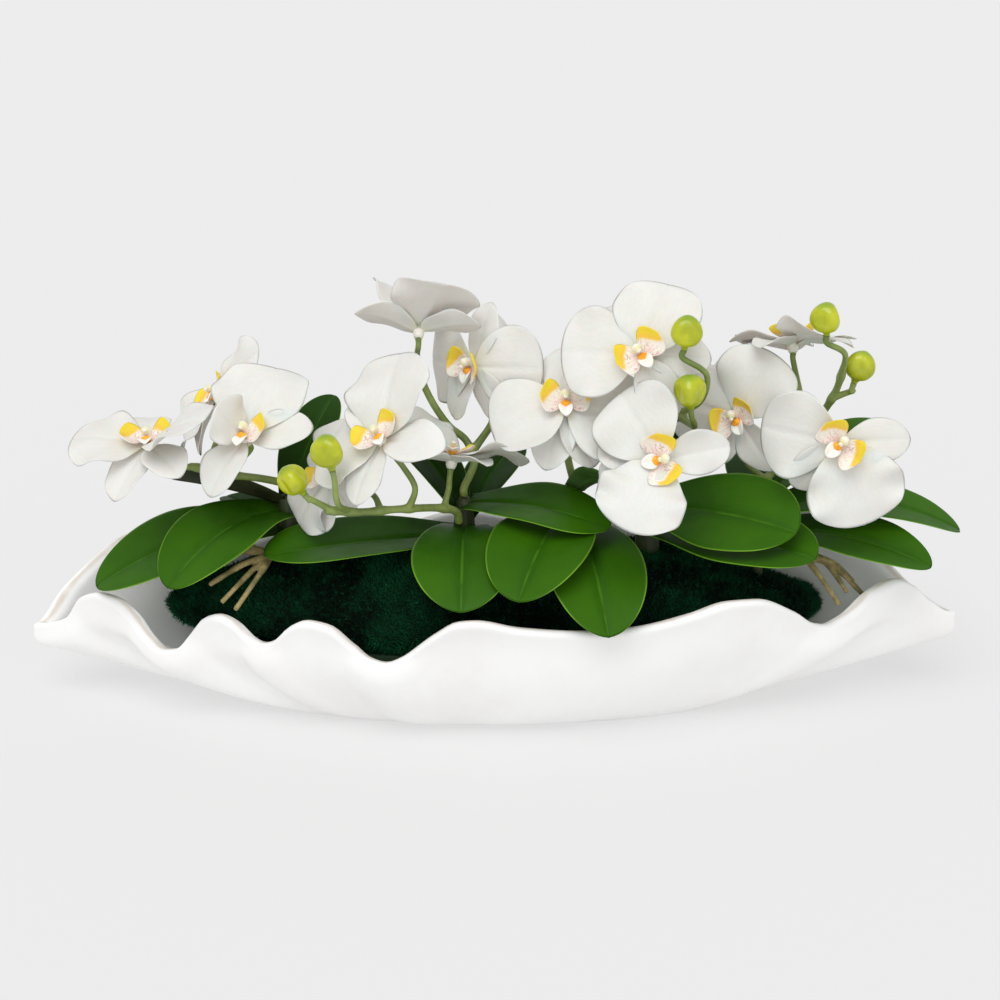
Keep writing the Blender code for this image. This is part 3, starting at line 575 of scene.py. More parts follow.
def make_bud_finish():
    paint = Finish("bud", Roughness=0.28, Coat_Weight=0.25, Coat_Roughness=0.15)
    _, along = paint.across_and_along()
    paint.base(paint.patches(60.0, 0.3, 0.7), "a0a902", "c2c80c")
    paint.tint(paint.rise(along, 0.72, 1.0), "6f9a12", 0.7)
    paint.tint(paint.fall(along, 0.05, 0.35), "7f9a1c", 0.6)
    return paint.done(paint.grain(260.0, 3.0), 0.12, 0.4)


def make_root_finish():
    paint = Finish("root", Roughness=0.75)
    paint.base(paint.patches(110.0), "6e6539", "a39260")
    paint.tint(paint.patches(600.0, 0.5, 0.7), "4a3416", 0.4)
    return paint.done(paint.grain(700.0, 4.0), 0.5, 0.5)


# ---------------------------- mesh helpers


class Shape:
    """Points, faces, a material number for each face and a UV for each point, gathered into one mesh."""

    def __init__(self):
        self.points = []
        self.faces = []
        self.slots = []
        self.uv = []
        self.count = 0

    def add(self, points, faces, uv, slots):
        self.points.append(np.asarray(points, float))
        self.faces.extend([[i + self.count for i in face] for face in faces])
        self.slots.extend([slots] * len(faces) if isinstance(slots, int) else list(slots))
        self.uv.append(np.asarray(uv, float))
        self.count += len(points)

    def made(self, name, materials):
        """The object, its points from mm, at the origin."""
        mesh = bpy.data.meshes.new(name)
        mesh.from_pydata((np.concatenate(self.points) * MM).tolist(), [], self.faces)
        mesh.polygons.foreach_set("material_index", self.slots)
        layer = mesh.uv_layers.new(name="UVMap")
        corners = np.empty(len(mesh.loops), np.int32)
        mesh.loops.foreach_get("vertex_index", corners)
        layer.data.foreach_set("uv", np.concatenate(self.uv)[corners].ravel())
        for material in materials:
            mesh.materials.append(material)
        mesh.shade_smooth()
        obj = bpy.data.objects.new(name, mesh)
        bpy.context.scene.collection.objects.link(obj)
        return obj


def blended(table, at):
    """Smooth values from a table of (place, value), level at the ends, crests and valleys."""
    places = np.array([row[0] for row in table], float)
    values = np.array([row[1] for row in table], float)
    steps = np.diff(values) / np.diff(places)
    both = steps[:-1] * steps[1:]
    slopes = np.zeros(len(table))
    slopes[1:-1] = np.where(both > 0.0, 2.0 * both / np.where(both > 0.0, steps[:-1] + steps[1:], 1.0), 0.0)
    index = np.clip(np.searchsorted(places, at) - 1, 0, len(table) - 2)
    reach = places[index + 1] - places[index]
    part = np.clip((at - places[index]) / reach, 0.0, 1.0)
    ease = part * part * (3.0 - 2.0 * part)
    lift = slopes[index] * part * (1.0 - part) ** 2 - slopes[index + 1] * part**2 * (1.0 - part)
    return values[index] + (values[index + 1] - values[index]) * ease + reach * lift


def smooth_path(points, steps):
    """A Catmull-Rom curve through the points."""
    controls = [Vector(p) for p in points]
    controls = [2 * controls[0] - controls[1], *controls, 2 * controls[-1] - controls[-2]]
    found = []
    for before, start, end, after in zip(controls, controls[1:], controls[2:], controls[3:]):
        bend, twist = 2 * before - 5 * start + 4 * end - after, 3 * start - before - 3 * end + after
        for t in np.arange(steps) / steps:
            found.append(0.5 * (2 * start + (end - before) * t + bend * t**2 + twist * t**3))
    return [*found, controls[-2]]


def unit(vectors):
    return vectors / np.maximum(np.linalg.norm(vectors, axis=-1, keepdims=True), 1e-12)


def ring_faces(rings, around):
    """Quads between rings of points, then a fan at each end round one more point."""
    i = np.arange(around)
    j = (i + 1) % around
    low = around * np.arange(rings - 1)[:, None]
    faces = np.stack([low + i, low + j, low + around + j, low + around + i], -1).reshape(-1, 4).tolist()
    top = (rings - 1) * around
    first, last = rings * around, rings * around + 1
    for a, b in zip(i.tolist(), j.tolist()):
        faces += [[first, b, a], [last, top + a, top + b]]
    return faces


def add_rings(shape, rings, ups, slot=0):
    """A closed body through rings of points, turned outwards. ups is each ring's place along, for the UV."""
    rings = np.asarray(rings, float)
    levels, around = rings.shape[:2]
    points = np.concatenate([rings.reshape(-1, 3), rings[0].mean(0)[None], rings[-1].mean(0)[None]])
    turn = np.abs(np.linspace(-1.0, 1.0, around, endpoint=False))
    uv = np.stack(np.broadcast_arrays(turn[None, :], np.asarray(ups)[:, None]), -1).reshape(-1, 2)
    uv = np.concatenate([uv, [[0.5, ups[0]], [0.5, ups[-1]]]])
    shape.add(points, ring_faces(levels, around), uv, slot)


def add_bar(shape, path, radii, sides=14):
    """A round bar along the path, with a domed end at each end."""
    path = np.array([tuple(p) for p in path], float)
    radii = np.asarray(radii, float)
    ahead = unit(np.gradient(path, axis=0))
    side = np.cross(ahead[0], (0.3, 0.2, 1.0))
    rings, places = [], []
    turns = np.linspace(0.0, 2.0 * math.pi, sides, endpoint=False)
    for i, (point, way, radius) in enumerate(zip(path, ahead, radii)):
        side = unit(side - way * (side @ way))
        other = np.cross(way, side)
        circle = np.cos(turns)[:, None] * side + np.sin(turns)[:, None] * other
        if i == 0:
            for part in (0.35, 0.75):
                rings.append(point - way * radius * 0.5 * (1 - part) + circle * radius * part)
                places.append(0.0)
        rings.append(point + circle * radius)
        places.append(i / (len(path) - 1))
        if i == len(path) - 1:
            for part in (0.75, 0.35):
                rings.append(point + way * radius * 0.5 * (1 - part) + circle * radius * part)
                places.append(1.0)
    add_rings(shape, rings, places)


def remeshed(obj, voxel):
    """The object as one even skin, with its joints softened."""
    skin = obj.modifiers.new("skin", "REMESH")
    skin.mode = "VOXEL"
    skin.voxel_size = voxel * MM
    skin.use_smooth_shade = True
    soft = obj.modifiers.new("soft", "SMOOTH")
    soft.factor = 0.5
    soft.iterations = 2
    graph = bpy.context.evaluated_depsgraph_get()
    mesh = bpy.data.meshes.new_from_object(obj.evaluated_get(graph))
    material = obj.data.materials[0]
    obj.modifiers.clear()
    obj.data = mesh
    mesh.materials.clear()
    mesh.materials.append(material)
    mesh.shade_smooth()
    return obj


# ---------------------------- leaves and petals


def leaf_outline(s):
    """Half width of a leaf from its base to its tip: a narrow foot, widest past the middle, a round tip."""
    part = np.clip(s / 0.58, 0.0, 1.0)
    rising = 0.42 + 0.58 * (3 * part**2 - 2 * part**3) ** 0.75
    falling = np.clip(1.0 - np.clip((s - 0.58) / 0.42, 0.0, 1.0) ** 2.3, 0.0, 1.0) ** 0.55
    return np.where(s < 0.58, rising, falling)


def outline(foot, widest, swell, blunt, rounded):
    """Half width along a petal: from its foot out to its widest place, then in to a rounded tip."""

    def half_width(s):
        rising = foot + (1.0 - foot) * np.sin(0.5 * math.pi * np.clip(s / widest, 0.0, 1.0)) ** swell
        falling = (1.0 - np.clip((s - widest) / (1.0 - widest), 0.0, 1.0) ** blunt) ** rounded
        return np.where(s < widest, rising, falling)

    return half_width


PETAL_OUTLINE = outline(0.14, 0.55, 0.85, 2.4, 0.5)
SEPAL_OUTLINE = outline(0.2, 0.5, 0.9, 2.0, 0.62)
LOBE_OUTLINE = outline(0.2, 0.66, 0.9, 2.6, 0.5)

FORM = {
    "cup": 0.06,  # how far the edges rise, as a part of the half width
    "roll": 0.0,  # turn about the blade's own line, in degrees
    "twist": 0.0,  # further turn from base to tip, in degrees
    "wave": 0.0,  # height of the waves on the edges, as a part of the half width
    "waves": 2.0,  # waves on each edge
    "groove": 0.0,  # depth of the middle crease, mm
    "groove_width": 0.12,  # as a part of the half width
    "droop": 0.0,  # how far the tip bends back, as a part of the length
    "fold": 0.0,  # how far the left half folds up, in degrees
    "fold_right": 0.0,  # how far the right half folds up, in degrees
}


def add_blade(
    shape, base, knee, tip, facing, width, outline, cells, thickness, form, seed, slots, mirrored=False
):
    """A leaf or petal along the curve base, knee, tip, its upper side looking along facing."""
    form = {**FORM, **form}
    dice = np.random.default_rng(seed)
    across, along = cells
    a, b = np.meshgrid(np.linspace(-1, 1, across + 1), np.linspace(-1, 1, along + 1))
    disc_x = a * np.sqrt(1 - b * b / 2)
    disc_y = b * np.sqrt(1 - a * a / 2)
    s = 0.5 * (disc_y + 1)
    c = np.clip(disc_x / np.maximum(np.sqrt(np.maximum(1 - disc_y**2, 0)), 1e-9), -1, 1)
    half = 0.5 * width * outline(s)

    base, knee, tip, facing = (np.array(tuple(p), float) for p in (base, knee, tip, facing))
    t = s[..., None]
    spine = base * (1 - t) ** 2 + knee * 2 * t * (1 - t) + tip * t**2
    forward = unit((knee - base) * (1 - t) + (tip - knee) * t)
    up = unit(facing - forward * (forward @ facing)[..., None])
    side = np.cross(forward, up)
    turn = np.radians(form["roll"] + form["twist"] * s)[..., None]
    side, up = side * np.cos(turn) - up * np.sin(turn), up * np.cos(turn) + side * np.sin(turn)

    reach = c * half
    rim = np.abs(c)
    phase = dice.uniform(0, 2 * math.pi, 2)
    count = form["waves"] * dice.uniform(0.85, 1.15, 2)
    left, right = (np.sin(2 * math.pi * count[i] * s + phase[i]) for i in (0, 1))
    swing = np.where(c < 0, left, right)
    lift = form["cup"] * half * rim**1.4
    lift += form["wave"] * half * rim**2.5 * swing * np.sin(math.pi * np.clip(s, 0, 1)) ** 0.3
    lift -= form["groove"] * np.exp(-((c / form["groove_width"]) ** 2)) * np.clip(1.1 - s, 0, 1) ** 0.5
    lift -= form["droop"] * np.linalg.norm(tip - base) * np.clip(s - 0.45, 0, 1) ** 2
    fold = np.radians(np.where(c < 0, form["fold"], form["fold_right"]))
    bent = fold * rim**0.7
    shown = side * (reach * np.cos(bent))[..., None] + up * (lift + np.abs(reach) * np.sin(bent))[..., None]
    skin = spine + shown

    normal = unit(np.cross(np.gradient(skin, axis=1), np.gradient(skin, axis=0)))
    if (normal * up).sum() < 0:
        normal = -normal
    edge = np.clip(1 - (disc_x**2 + disc_y**2) ** 6, 0, 1) ** 0.5
    offset = normal * (0.5 * thickness * edge)[..., None]

    rows, columns = along + 1, across + 1
    numbers = np.arange(rows * columns).reshape(rows, columns)
    inner = numbers[1:-1, 1:-1].ravel()
    under = numbers.copy()
    under[1:-1, 1:-1] = rows * columns + np.arange(len(inner)).reshape(rows - 2, columns - 2)

    def quads(grid):
        return np.stack([grid[:-1, :-1], grid[:-1, 1:], grid[1:, 1:], grid[1:, :-1]], -1).reshape(-1, 4)

    top_points = (skin + offset).reshape(-1, 3)
    under_points = (skin - offset).reshape(-1, 3)[inner]
    centre = rows // 2, columns // 2
    top, bottom = quads(numbers), quads(under)
    if np.cross(side[centre], forward[centre]) @ up[centre] < 0:
        top = top[:, ::-1]
    else:
        bottom = bottom[:, ::-1]
    u = 0.5 * (1 - c if mirrored else 1 + c)
    uv = np.stack([u, s], -1).reshape(-1, 2)
    uv = np.concatenate([uv, uv[inner]])
    numbered = [slots[0]] * len(top) + [slots[1]] * len(bottom)
    shape.add(np.concatenate([top_points, under_points]), [*top.tolist(), *bottom.tolist()], uv, numbered)


# ---------------------------- bowl


def plan_ring(half_length, half_width, tip_width, turn):
    """A boat-shaped outline: pointed at both ends, with tips rounded by tip_width."""
    rising = np.abs(np.sin(turn))
    y = (half_width - tip_width) * rising**2.3 + tip_width * rising
    return half_length * np.cos(turn), np.copysign(y, np.sin(turn))


def section_at(table, level):
    """A section table read between its levels, on a smooth curve."""
    points = smooth_path([(out, up, 0.0) for out, up in table], 8)
    index = min(int(round(level * 8)), len(points) - 1)
    return points[index].x, points[index].y


def wall_ring(foot, rim, floor, level, inset):
    """One ring of the bowl's wall: level counts up the section from the foot to the rim."""
    turn = 2.0 * math.pi * (np.arange(BOWL_AROUND) + 0.5) / BOWL_AROUND
    end = np.abs(np.cos(turn)) ** 1.5
    middle, tip = section_at(SECTION_MIDDLE, level), section_at(SECTION_ENDS, level)
    out, up = (m * (1 - end) + t * end for m, t in zip(middle, tip))
    low_x, low_y = foot[0] * np.cos(turn), foot[1] * np.sin(turn)
    x, y = plan_ring(*rim, turn)
    along = x * HALF_LENGTH / rim[0]
    front, back = blended(RIM_FRONT, along), blended(RIM_BACK, along)
    high = np.where(y < 0, front, back) - inset
    # The wall leans out under each crest of the rim and in under each dip.
    above_front, above_back = front - FRONT_LEVEL, np.minimum(back - BACK_LEVEL, 0.0)
    lean = np.where(y < 0, FRONT_LEAN * above_front, BACK_LEAN * above_back) * (level / 5.0) ** 2.5
    lean += np.where(y < 0, RIM_FLARE, 0.0) * np.clip((level - 4.0) / 1.0, 0.0, 1.0) ** 2
    lean *= np.clip(np.abs(y) / 40.0, 0.0, 1.0)
    ring_x = low_x + (x - low_x) * out
    ring_y = low_y + (y - low_y) * out + np.copysign(lean, y)
    return np.stack([ring_x, ring_y, floor + (high - floor) * up], -1)


def make_bowl(glaze):
    outside = (HALF_LENGTH, HALF_WIDTH, TIP_WIDTH)
    inside = (HALF_LENGTH - TIP_WALL, HALF_WIDTH - WALL, TIP_WIDTH - 0.5)
    inner_foot = (FOOT[0] - 5.0, FOOT[1] - 7.0)
    top = len(SECTION_MIDDLE) - 1
    levels = np.linspace(0.0, top, 8 * top + 1)
    rings, places = [], []
    for level in levels:
        rings.append(wall_ring(FOOT, outside, 0.0, level, RIM_ROUND))
        places.append(0.95 * level / top)
    for part in (0.04, 0.12, 0.25, 0.4, 0.5, 0.6, 0.75, 0.88, 0.96):
        rim = tuple(o + (i - o) * part for o, i in zip(outside, inside))
        inset = RIM_ROUND * (1.0 - math.sqrt(1.0 - (2.0 * part - 1.0) ** 2))
        rings.append(wall_ring(FOOT, rim, 0.0, top, inset))
        places.append(0.95 + 0.1 * part)
    for level in levels[::-1]:
        rings.append(wall_ring(inner_foot, inside, FLOOR_THICKNESS, level, RIM_ROUND))
        places.append(1.05 + 0.95 * (1.0 - level / top))
    shape = Shape()
    add_rings(shape, rings, places)
    return shape.made("ruffled_bowl", [glaze])


# ---------------------------- moss


def superellipse(half, turn, power):
    c, s = np.cos(turn), np.sin(turn)
    return (
        half[0] * np.copysign(np.abs(c) ** (2 / power), c),
        half[1] * np.copysign(np.abs(s) ** (2 / power), s),
    )


def make_moss_mound(ground):
    low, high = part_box("moss_mound")
    half = (high.x / MM - 2.5, high.y / MM - 2.5)
    base, top = low.z / MM, high.z / MM - 1.5
    turn = 2.0 * math.pi * (np.arange(300) + 0.5) / 300
    profile = [(0.84, base), (0.9, base + 3.0), (0.95, base + 7.0), (0.985, base + 11.0)]
    for scale in (1.0, 0.995, 0.985, 0.97, 0.95, *np.linspace(0.92, 0.04, 40)):
        profile.append((scale, base + MOSS_SHOULDER + (top - base - MOSS_SHOULDER) * (1.0 - scale**3.2)))
    rings = []
    for scale, z in profile:
        x, y = superellipse((half[0] * scale, half[1] * scale), turn, MOSS_POWER)
        lumps = (
            1.8 * np.sin(x / 17.0 + 1.2) * np.sin(y / 12.0 + 0.4)
            + 1.3 * np.sin(x / 7.3 + y / 9.0) * np.sin(y / 6.1 - x / 15.0)
            + 0.8 * np.sin(x / 3.7 - y / 4.9 + 2.0)
        )
        rings.append(np.stack([x, y, z + lumps * (1.0 if z > base + 4 else 0.0)], -1))
    shape = Shape()
    add_rings(shape, rings, np.linspace(0.0, 1.0, len(rings)))
    return shape.made("moss_mound_skin", [ground])


def make_fibre_tree(finish):
    """Short pointed fibres over the given skin, each leaning its own way."""
    tree = bpy.data.node_groups.new("flocked_fibres", "GeometryNodeTree")
    tree.interface.new_socket(name="Skin", in_out="INPUT", socket_type="NodeSocketGeometry")
    for label in ("Fibres per square metre", "Fibre length", "Fibre radius", "Lean"):
        tree.interface.new_socket(name=label, in_out="INPUT", socket_type="NodeSocketFloat")
    tree.interface.new_socket(name="Seed", in_out="INPUT", socket_type="NodeSocketInt")
    tree.interface.new_socket(name="Fibres", in_out="OUTPUT", socket_type="NodeSocketGeometry")
    given = tree.nodes.new("NodeGroupInput").outputs
    out = tree.nodes.new("NodeGroupOutput").inputs["Fibres"]

    values = {"Mesh": given["Skin"], "Density": given["Fibres per square metre"], "Seed": given["Seed"]}
    scattered = node(tree, "GeometryNodeDistributePointsOnFaces", values).outputs
    values = {"Vertices": 3, "Radius Bottom": given["Fibre radius"], "Depth": given["Fibre length"]}
    fibre = node(tree, "GeometryNodeMeshCone", values).outputs["Mesh"]
    place = node(tree, "GeometryNodeInputPosition").outputs[0]
    height = node(tree, "ShaderNodeSeparateXYZ", {0: place}).outputs["Z"]
    share = maths(tree, "DIVIDE", height, given["Fibre length"])
    values = {"Geometry": fibre, "Name": "tip", "Value": share}
    marked = node(tree, "GeometryNodeStoreNamedAttribute", values, data_type="FLOAT", domain="POINT")
    values = {0: (-1.0, -1.0, -0.4), 1: (1.0, 1.0, 1.0), "Seed": given["Seed"]}
    spread = node(tree, "FunctionNodeRandomValue", values, data_type="FLOAT_VECTOR").outputs[0]
    values = {0: spread, "Scale": given["Lean"]}
    leaning = node(tree, "ShaderNodeVectorMath", values, operation="SCALE").outputs[0]
    values = {0: scattered["Normal"], 1: leaning}
    way = node(tree, "ShaderNodeVectorMath", values, operation="ADD").outputs[0]
    turned = node(tree, "FunctionNodeAlignRotationToVector", {"Vector": way}, axis="Z")
    values = {2: 0.55, 3: 1.25, "Seed": given["Seed"]}
    sizes = node(tree, "FunctionNodeRandomValue", values, data_type="FLOAT").outputs[1]
    values = {
        "Points": scattered["Points"],
        "Instance": marked.outputs["Geometry"],
        "Rotation": turned.outputs["Rotation"],
        "Scale": sizes,
    }
    placed_fibres = node(tree, "GeometryNodeInstanceOnPoints", values).outputs["Instances"]
    real = node(tree, "GeometryNodeRealizeInstances", {"Geometry": placed_fibres}).outputs["Geometry"]
    finished = node(tree, "GeometryNodeSetMaterial", {"Geometry": real, "Material": finish})
    tree.links.new(finished.outputs["Geometry"], out)
    return tree


def grown(name, skin, tree, **values):
    """A plain mesh of what the tree grows on the skin."""
    holder = bpy.data.objects.new(name, skin.data.copy())
    bpy.context.scene.collection.objects.link(holder)
    growth = holder.modifiers.new("growth", "NODES")
    growth.node_group = tree
    for item in tree.interface.items_tree:
        if item.item_type == "SOCKET" and item.in_out == "INPUT" and item.name in values:
            growth[item.identifier] = values[item.name]
    graph = bpy.context.evaluated_depsgraph_get()
    mesh = bpy.data.meshes.new_from_object(holder.evaluated_get(graph))
    holder.modifiers.clear()
    holder.data = mesh
    return holder


# ---------------------------- plants


def make_crown(name, sheath):
    low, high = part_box(name)
    centre = 0.5 * (low + high)
    x, y, bottom, top = centre.x / MM, centre.y / MM, low.z / MM, high.z / MM
    profile = (
        (4.0, bottom), (4.0, 60.0), (4.0, 88.0), (5.0, 90.5), (7.4, 92.5),
        (7.8, 97.0), (7.0, 108.0), (6.4, 118.0), (5.2, top - 4.0), (3.2, top - 0.2),
    )
    points = smooth_path([(radius, z, 0.0) for radius, z in profile], 5)
    turn = np.linspace(0.0, 2.0 * math.pi, 40, endpoint=False)
    rings = []
    for point in points:
        radius = min(point.x, CROWN_RADIUS)
        folds = 1.0 - 0.06 * np.abs(np.sin(2.5 * turn + point.y / 30.0)) * (radius > 5.5)
        out = radius * folds
        rings.append(np.stack([x + out * np.cos(turn), y + out * np.sin(turn), np.full(40, point.y)], -1))
    shape = Shape()
    add_rings(shape, rings, np.linspace(0.0, 1.0, len(rings)))
    return shape.made(f"{name}_sheath", [sheath])


def make_leaf(name, finishes, seed):
    crown, height, tip, rise_degrees, width, cup, roll = LEAVES[name]
    low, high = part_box(crown)
    centre = 0.5 * (low + high)
    middle = Vector((centre.x / MM, centre.y / MM, height))
    tip = Vector(tip)
    flat = Vector((tip.x - middle.x, tip.y - middle.y, 0.0)).normalized()
    base = middle + flat * LEAF_FOOT
    reach = 0.5 * (tip - base).length
    rising = math.radians(rise_degrees)
    knee = base + (flat * math.cos(rising) + UP * math.sin(rising)) * reach
    facing = UP - flat * 0.35
    form = {"cup": cup, "roll": roll, "wave": 0.035, "waves": 1.3, "groove": 1.5, "groove_width": 0.07}
    shape, line = Shape(), (base, knee, tip)
    add_blade(shape, *line, facing, width, leaf_outline, (30, 66), LEAF_THICKNESS, form, seed, (0, 1))
    return shape.made(f"{name}_blade", finishes)


def frame_of(heart, facing, top):
    """The flower's own axes: across to the viewer's right, up to its top, out the way it faces."""
    out = Vector(facing).normalized()
    up = Vector(top)
    up = (up - out * up.dot(out)).normalized()
    across = up.cross(out)
    return Matrix((across, up, out)).transposed()


def placed(points, heart, turn):
    """Points of a flower's own axes put in place."""
    return np.asarray(points, float) @ np.array(turn).T + np.array(heart)


def add_knob(shape, heart, turn, middle, sizes, slot):
    """A small rounded lump at the middle, in the flower's own axes."""
    rings = []
    around = np.linspace(0.0, 2.0 * math.pi, 16, endpoint=False)
    for lift in np.linspace(-0.47, 0.47, 9) * math.pi:
        out, height = math.cos(lift), sizes[2] * math.sin(lift)
        ring = [sizes[0] * out * np.cos(around), sizes[1] * out * np.sin(around), np.full(16, height)]
        rings.append(placed(np.stack(ring, -1) + np.array(middle), heart, turn))
    add_rings(shape, rings, np.linspace(0.0, 1.0, len(rings)), slot)


def make_flower(name, finishes, seed):
    """The petals and sepals, the lip, and the column with its callus, as three pieces."""
    heart, facing, top, size, spread = FLOWERS[name]
    turn = frame_of(heart, facing, top)

    def add(shape, angle, lean, start, sizes, outline, cells, form, key, slot=0, mirrored=False):
        """A petal, sepal or lobe at this angle round the heart, leaning forwards by lean."""
        a, lift = math.radians(angle), math.radians(lean)
        lift += math.radians(form.get("lean", 0.0))
        flat = Vector((math.cos(a), math.sin(a), 0.0))
        way = flat * math.cos(lift) + UP * math.sin(lift)
        normal = UP * math.cos(lift) - flat * math.sin(lift)
        length = sizes[0] * size * form.get("size", 1.0)
        width = sizes[1] * size * form.get("size", 1.0) * form.get("slim", 1.0)
        base = flat * start[0] + UP * start[1]
        curve = (base, base + (way * 0.5 + normal * form["curl"]) * length, base + way * length)
        curve = [placed(tuple(point), heart, turn) for point in curve]
        slots = (slot, slot)
        add_blade(
            shape, *curve, turn @ normal, width, outline, cells, BLADE, form, seed + key, slots, mirrored
        )

    dice = np.random.default_rng(seed + 40)

    def own(part, **form):
        """The form of this one petal or sepal, which bends in its own way."""
        bends = {
            "droop": dice.uniform(0.08, 0.34),
            "twist": dice.uniform(-12.0, 12.0),
            "fold": dice.uniform(-10.0, 12.0),
            "fold_right": dice.uniform(-10.0, 12.0),
            "curl": dice.uniform(0.04, 0.12),
        }
        return {**form, **bends, **PETAL_FORMS.get((name, part), {})}

    petals, lip, column = Shape(), Shape(), Shape()
    for i, (angle, lean) in enumerate(spread[2:]):
        form = own(f"sepal_{i}", cup=0.1, wave=0.1, waves=1.4, groove=0.7)
        add(petals, angle, lean, (1.5, -1.9 + 0.37 * i), SEPAL, SEPAL_OUTLINE, (22, 26), form, 10 + i)
    for i, (angle, lean) in enumerate(spread[:2]):
        form = own(f"petal_{i}", cup=0.02, wave=0.11, waves=1.6, groove=0.9, groove_width=0.08)
        add(petals, angle, lean, (1.5, 0.6 + 0.45 * i), PETAL, PETAL_OUTLINE, (34, 30), form, i)
    form = {"cup": 0.35, "wave": 0.05, "waves": 1.0, "droop": -0.25, "curl": -0.12}
    for i, angle in enumerate((8, 172)):
        start = (0.5, 2.0 + 0.3 * i)
        add(lip, angle, 24, start, LIP_LOBE, LOBE_OUTLINE, (20, 20), form, 20 + i, mirrored=i == 0)
    form = {"cup": 0.35, "droop": 0.5, "groove": 0.5, "curl": 0.16}
    add(lip, -90, 34, (0.8, 1.8), TONGUE, SEPAL_OUTLINE, (14, 16), form, 30, slot=1)
    hub = [(2.4, -HUB_BACK), (3.2, -4.0), (3.6, -1.0), (3.3, 1.5), (1.6, 2.6)]
    around = np.linspace(0.0, 2.0 * math.pi, 20, endpoint=False)
    rings = [
        placed(np.stack([r * np.cos(around), r * np.sin(around), np.full(20, z)], -1), heart, turn)
        for r, z in hub
    ]
    add_rings(column, rings, np.linspace(0.0, 0.4, len(rings)))
    spine = [(0.0, 1.5, 1.0), (0.0, 3.0, 4.0), (0.0, 3.2, 7.0), (0.0, 1.6, 9.0)]
    path = smooth_path([placed(p, heart, turn) for p in spine], 5)
    radii = np.interp(np.linspace(0, 1, len(path)), (0, 0.5, 0.8, 1.0), (2.2, 2.6, 2.9, 2.0)) * size
    add_bar(column, path, radii, 16)
    add_knob(column, heart, turn, (0.0, -2.4, 4.8), (3.0, 2.3, 2.3), 1)
    add_knob(column, heart, turn, (0.0, 0.4, 9.6), (1.5, 1.1, 1.2), 0)
    return (
        petals.made(f"{name}_petals", [finishes["petal"]]),
        lip.made(f"{name}_lip", [finishes["lip"], finishes["tongue"]]),
        column.made(f"{name}_column", [finishes["column"], finishes["callus"]]),
    )


def make_bud(name, finish, seed):
    """A bud of three soft lobes that meet at its nose."""
    middle, nose, size = BUDS[name]
    profile = smooth_path([(radius, height, 0.0) for radius, height in BUD_PROFILE], 5)
    around = np.linspace(0.0, 2.0 * math.pi, 48, endpoint=False)
    turn = UP.rotation_difference(Vector(nose).normalized()).to_matrix()
    spin = np.random.default_rng(seed).uniform(0.0, 2.0)
    rings = []
    for point in profile:
        belly = math.exp(-((point.y - 0.05) / 0.36) ** 2)
        ridge = 0.5 * (1.0 + np.cos(3.0 * (around - spin)))
        radius = point.x * size * (1.0 - 0.3 * belly * (1.0 - ridge) + 0.06 * belly * ridge)
        radius *= 1.0 - 0.05 * np.exp(-((np.sin(1.5 * (around - spin - math.pi / 3))) ** 2) / 0.01) * belly
        height = np.full(48, point.y * size)
        ring = np.stack([radius * np.cos(around), radius * np.sin(around), height], -1)
        rings.append(placed(ring, middle, turn))
    shape = Shape()
    add_rings(shape, rings, np.linspace(0.0, 1.0, len(rings)))
    return shape.made(f"{name}_lobes", [finish])


def stalk_end(name):
    """Where a stalk ends behind its flower or bud, and the way it arrives there."""
    if name in FLOWERS:
        heart, facing, _, _, _ = FLOWERS[name]
        way = Vector(facing).normalized()
        return Vector(heart) - way * (HUB_BACK + GAP), way
    middle, nose, size = BUDS[name]
    way = Vector(nose).normalized()
    return Vector(middle) - way * (size * BUD_STEM + GAP), way


def make_spike(name, finish):
    """A stem with its stalks, swollen at each joint."""
    path, stalks = SPIKES[name]
    line = smooth_path(path, 10)
    along = np.linspace(0.0, 1.0, len(line))
    radii = STEM_RADIUS * (1.02 - 0.17 * along)
    for leaving in stalks.values():
        away = np.array([(Vector(leaving[0]) - p).length for p in line])
        radii += 0.75 * np.exp(-((away / 3.5) ** 2))
    shape = Shape()
    add_bar(shape, line, radii)
    for held, leaving in stalks.items():
        end, way = stalk_end(held)
        line = smooth_path((*leaving, end - way * 5.0, end), 8)
        along = np.linspace(0.0, 1.0, len(line))
        radii = STALK_RADIUS * (1.12 - 0.1 * along)
        radii += 0.5 * np.exp(-((along / 0.12) ** 2)) + 0.35 * np.exp(-(((1 - along) / 0.08) ** 2))
        add_bar(shape, line, radii)
    return remeshed(shape.made(f"{name}_stem", [finish]), 0.6)


def make_roots(name, finish, seed):
    knot, tips = ROOTS[name]
    dice = np.random.default_rng(seed)
    shape = Shape()
    for i, tip in enumerate(tips):
        start = Vector(knot) + Vector((0.0, 2.2 * (i % 3 - 1), 1.1 * (i % 2)))
        reach = Vector(tip) - start
        sway = reach.cross(UP).normalized() * (5.0 if i % 2 else -4.0)
        middle = start + reach * 0.5 + sway + Vector((0, 0, 5.0))
        line = smooth_path((start, middle, tip), 14)
        knots = np.interp(np.linspace(0, 1, len(line)), np.linspace(0, 1, 9), dice.uniform(0.85, 1.2, 9))
        radii = ROOT_RADIUS * knots * np.linspace(1.3, 0.85, len(line))
        add_bar(shape, line, radii, 12)
    return remeshed(shape.made(f"{name}_fingers", [finish]), 0.5)


# ---------------------------- assembly


def settle(piece, slot, *nodes):
    """The piece rides on the root body and stands for these nodes. slot is not used."""
    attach(piece, "root")
    if nodes:
        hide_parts(*nodes)
    return piece


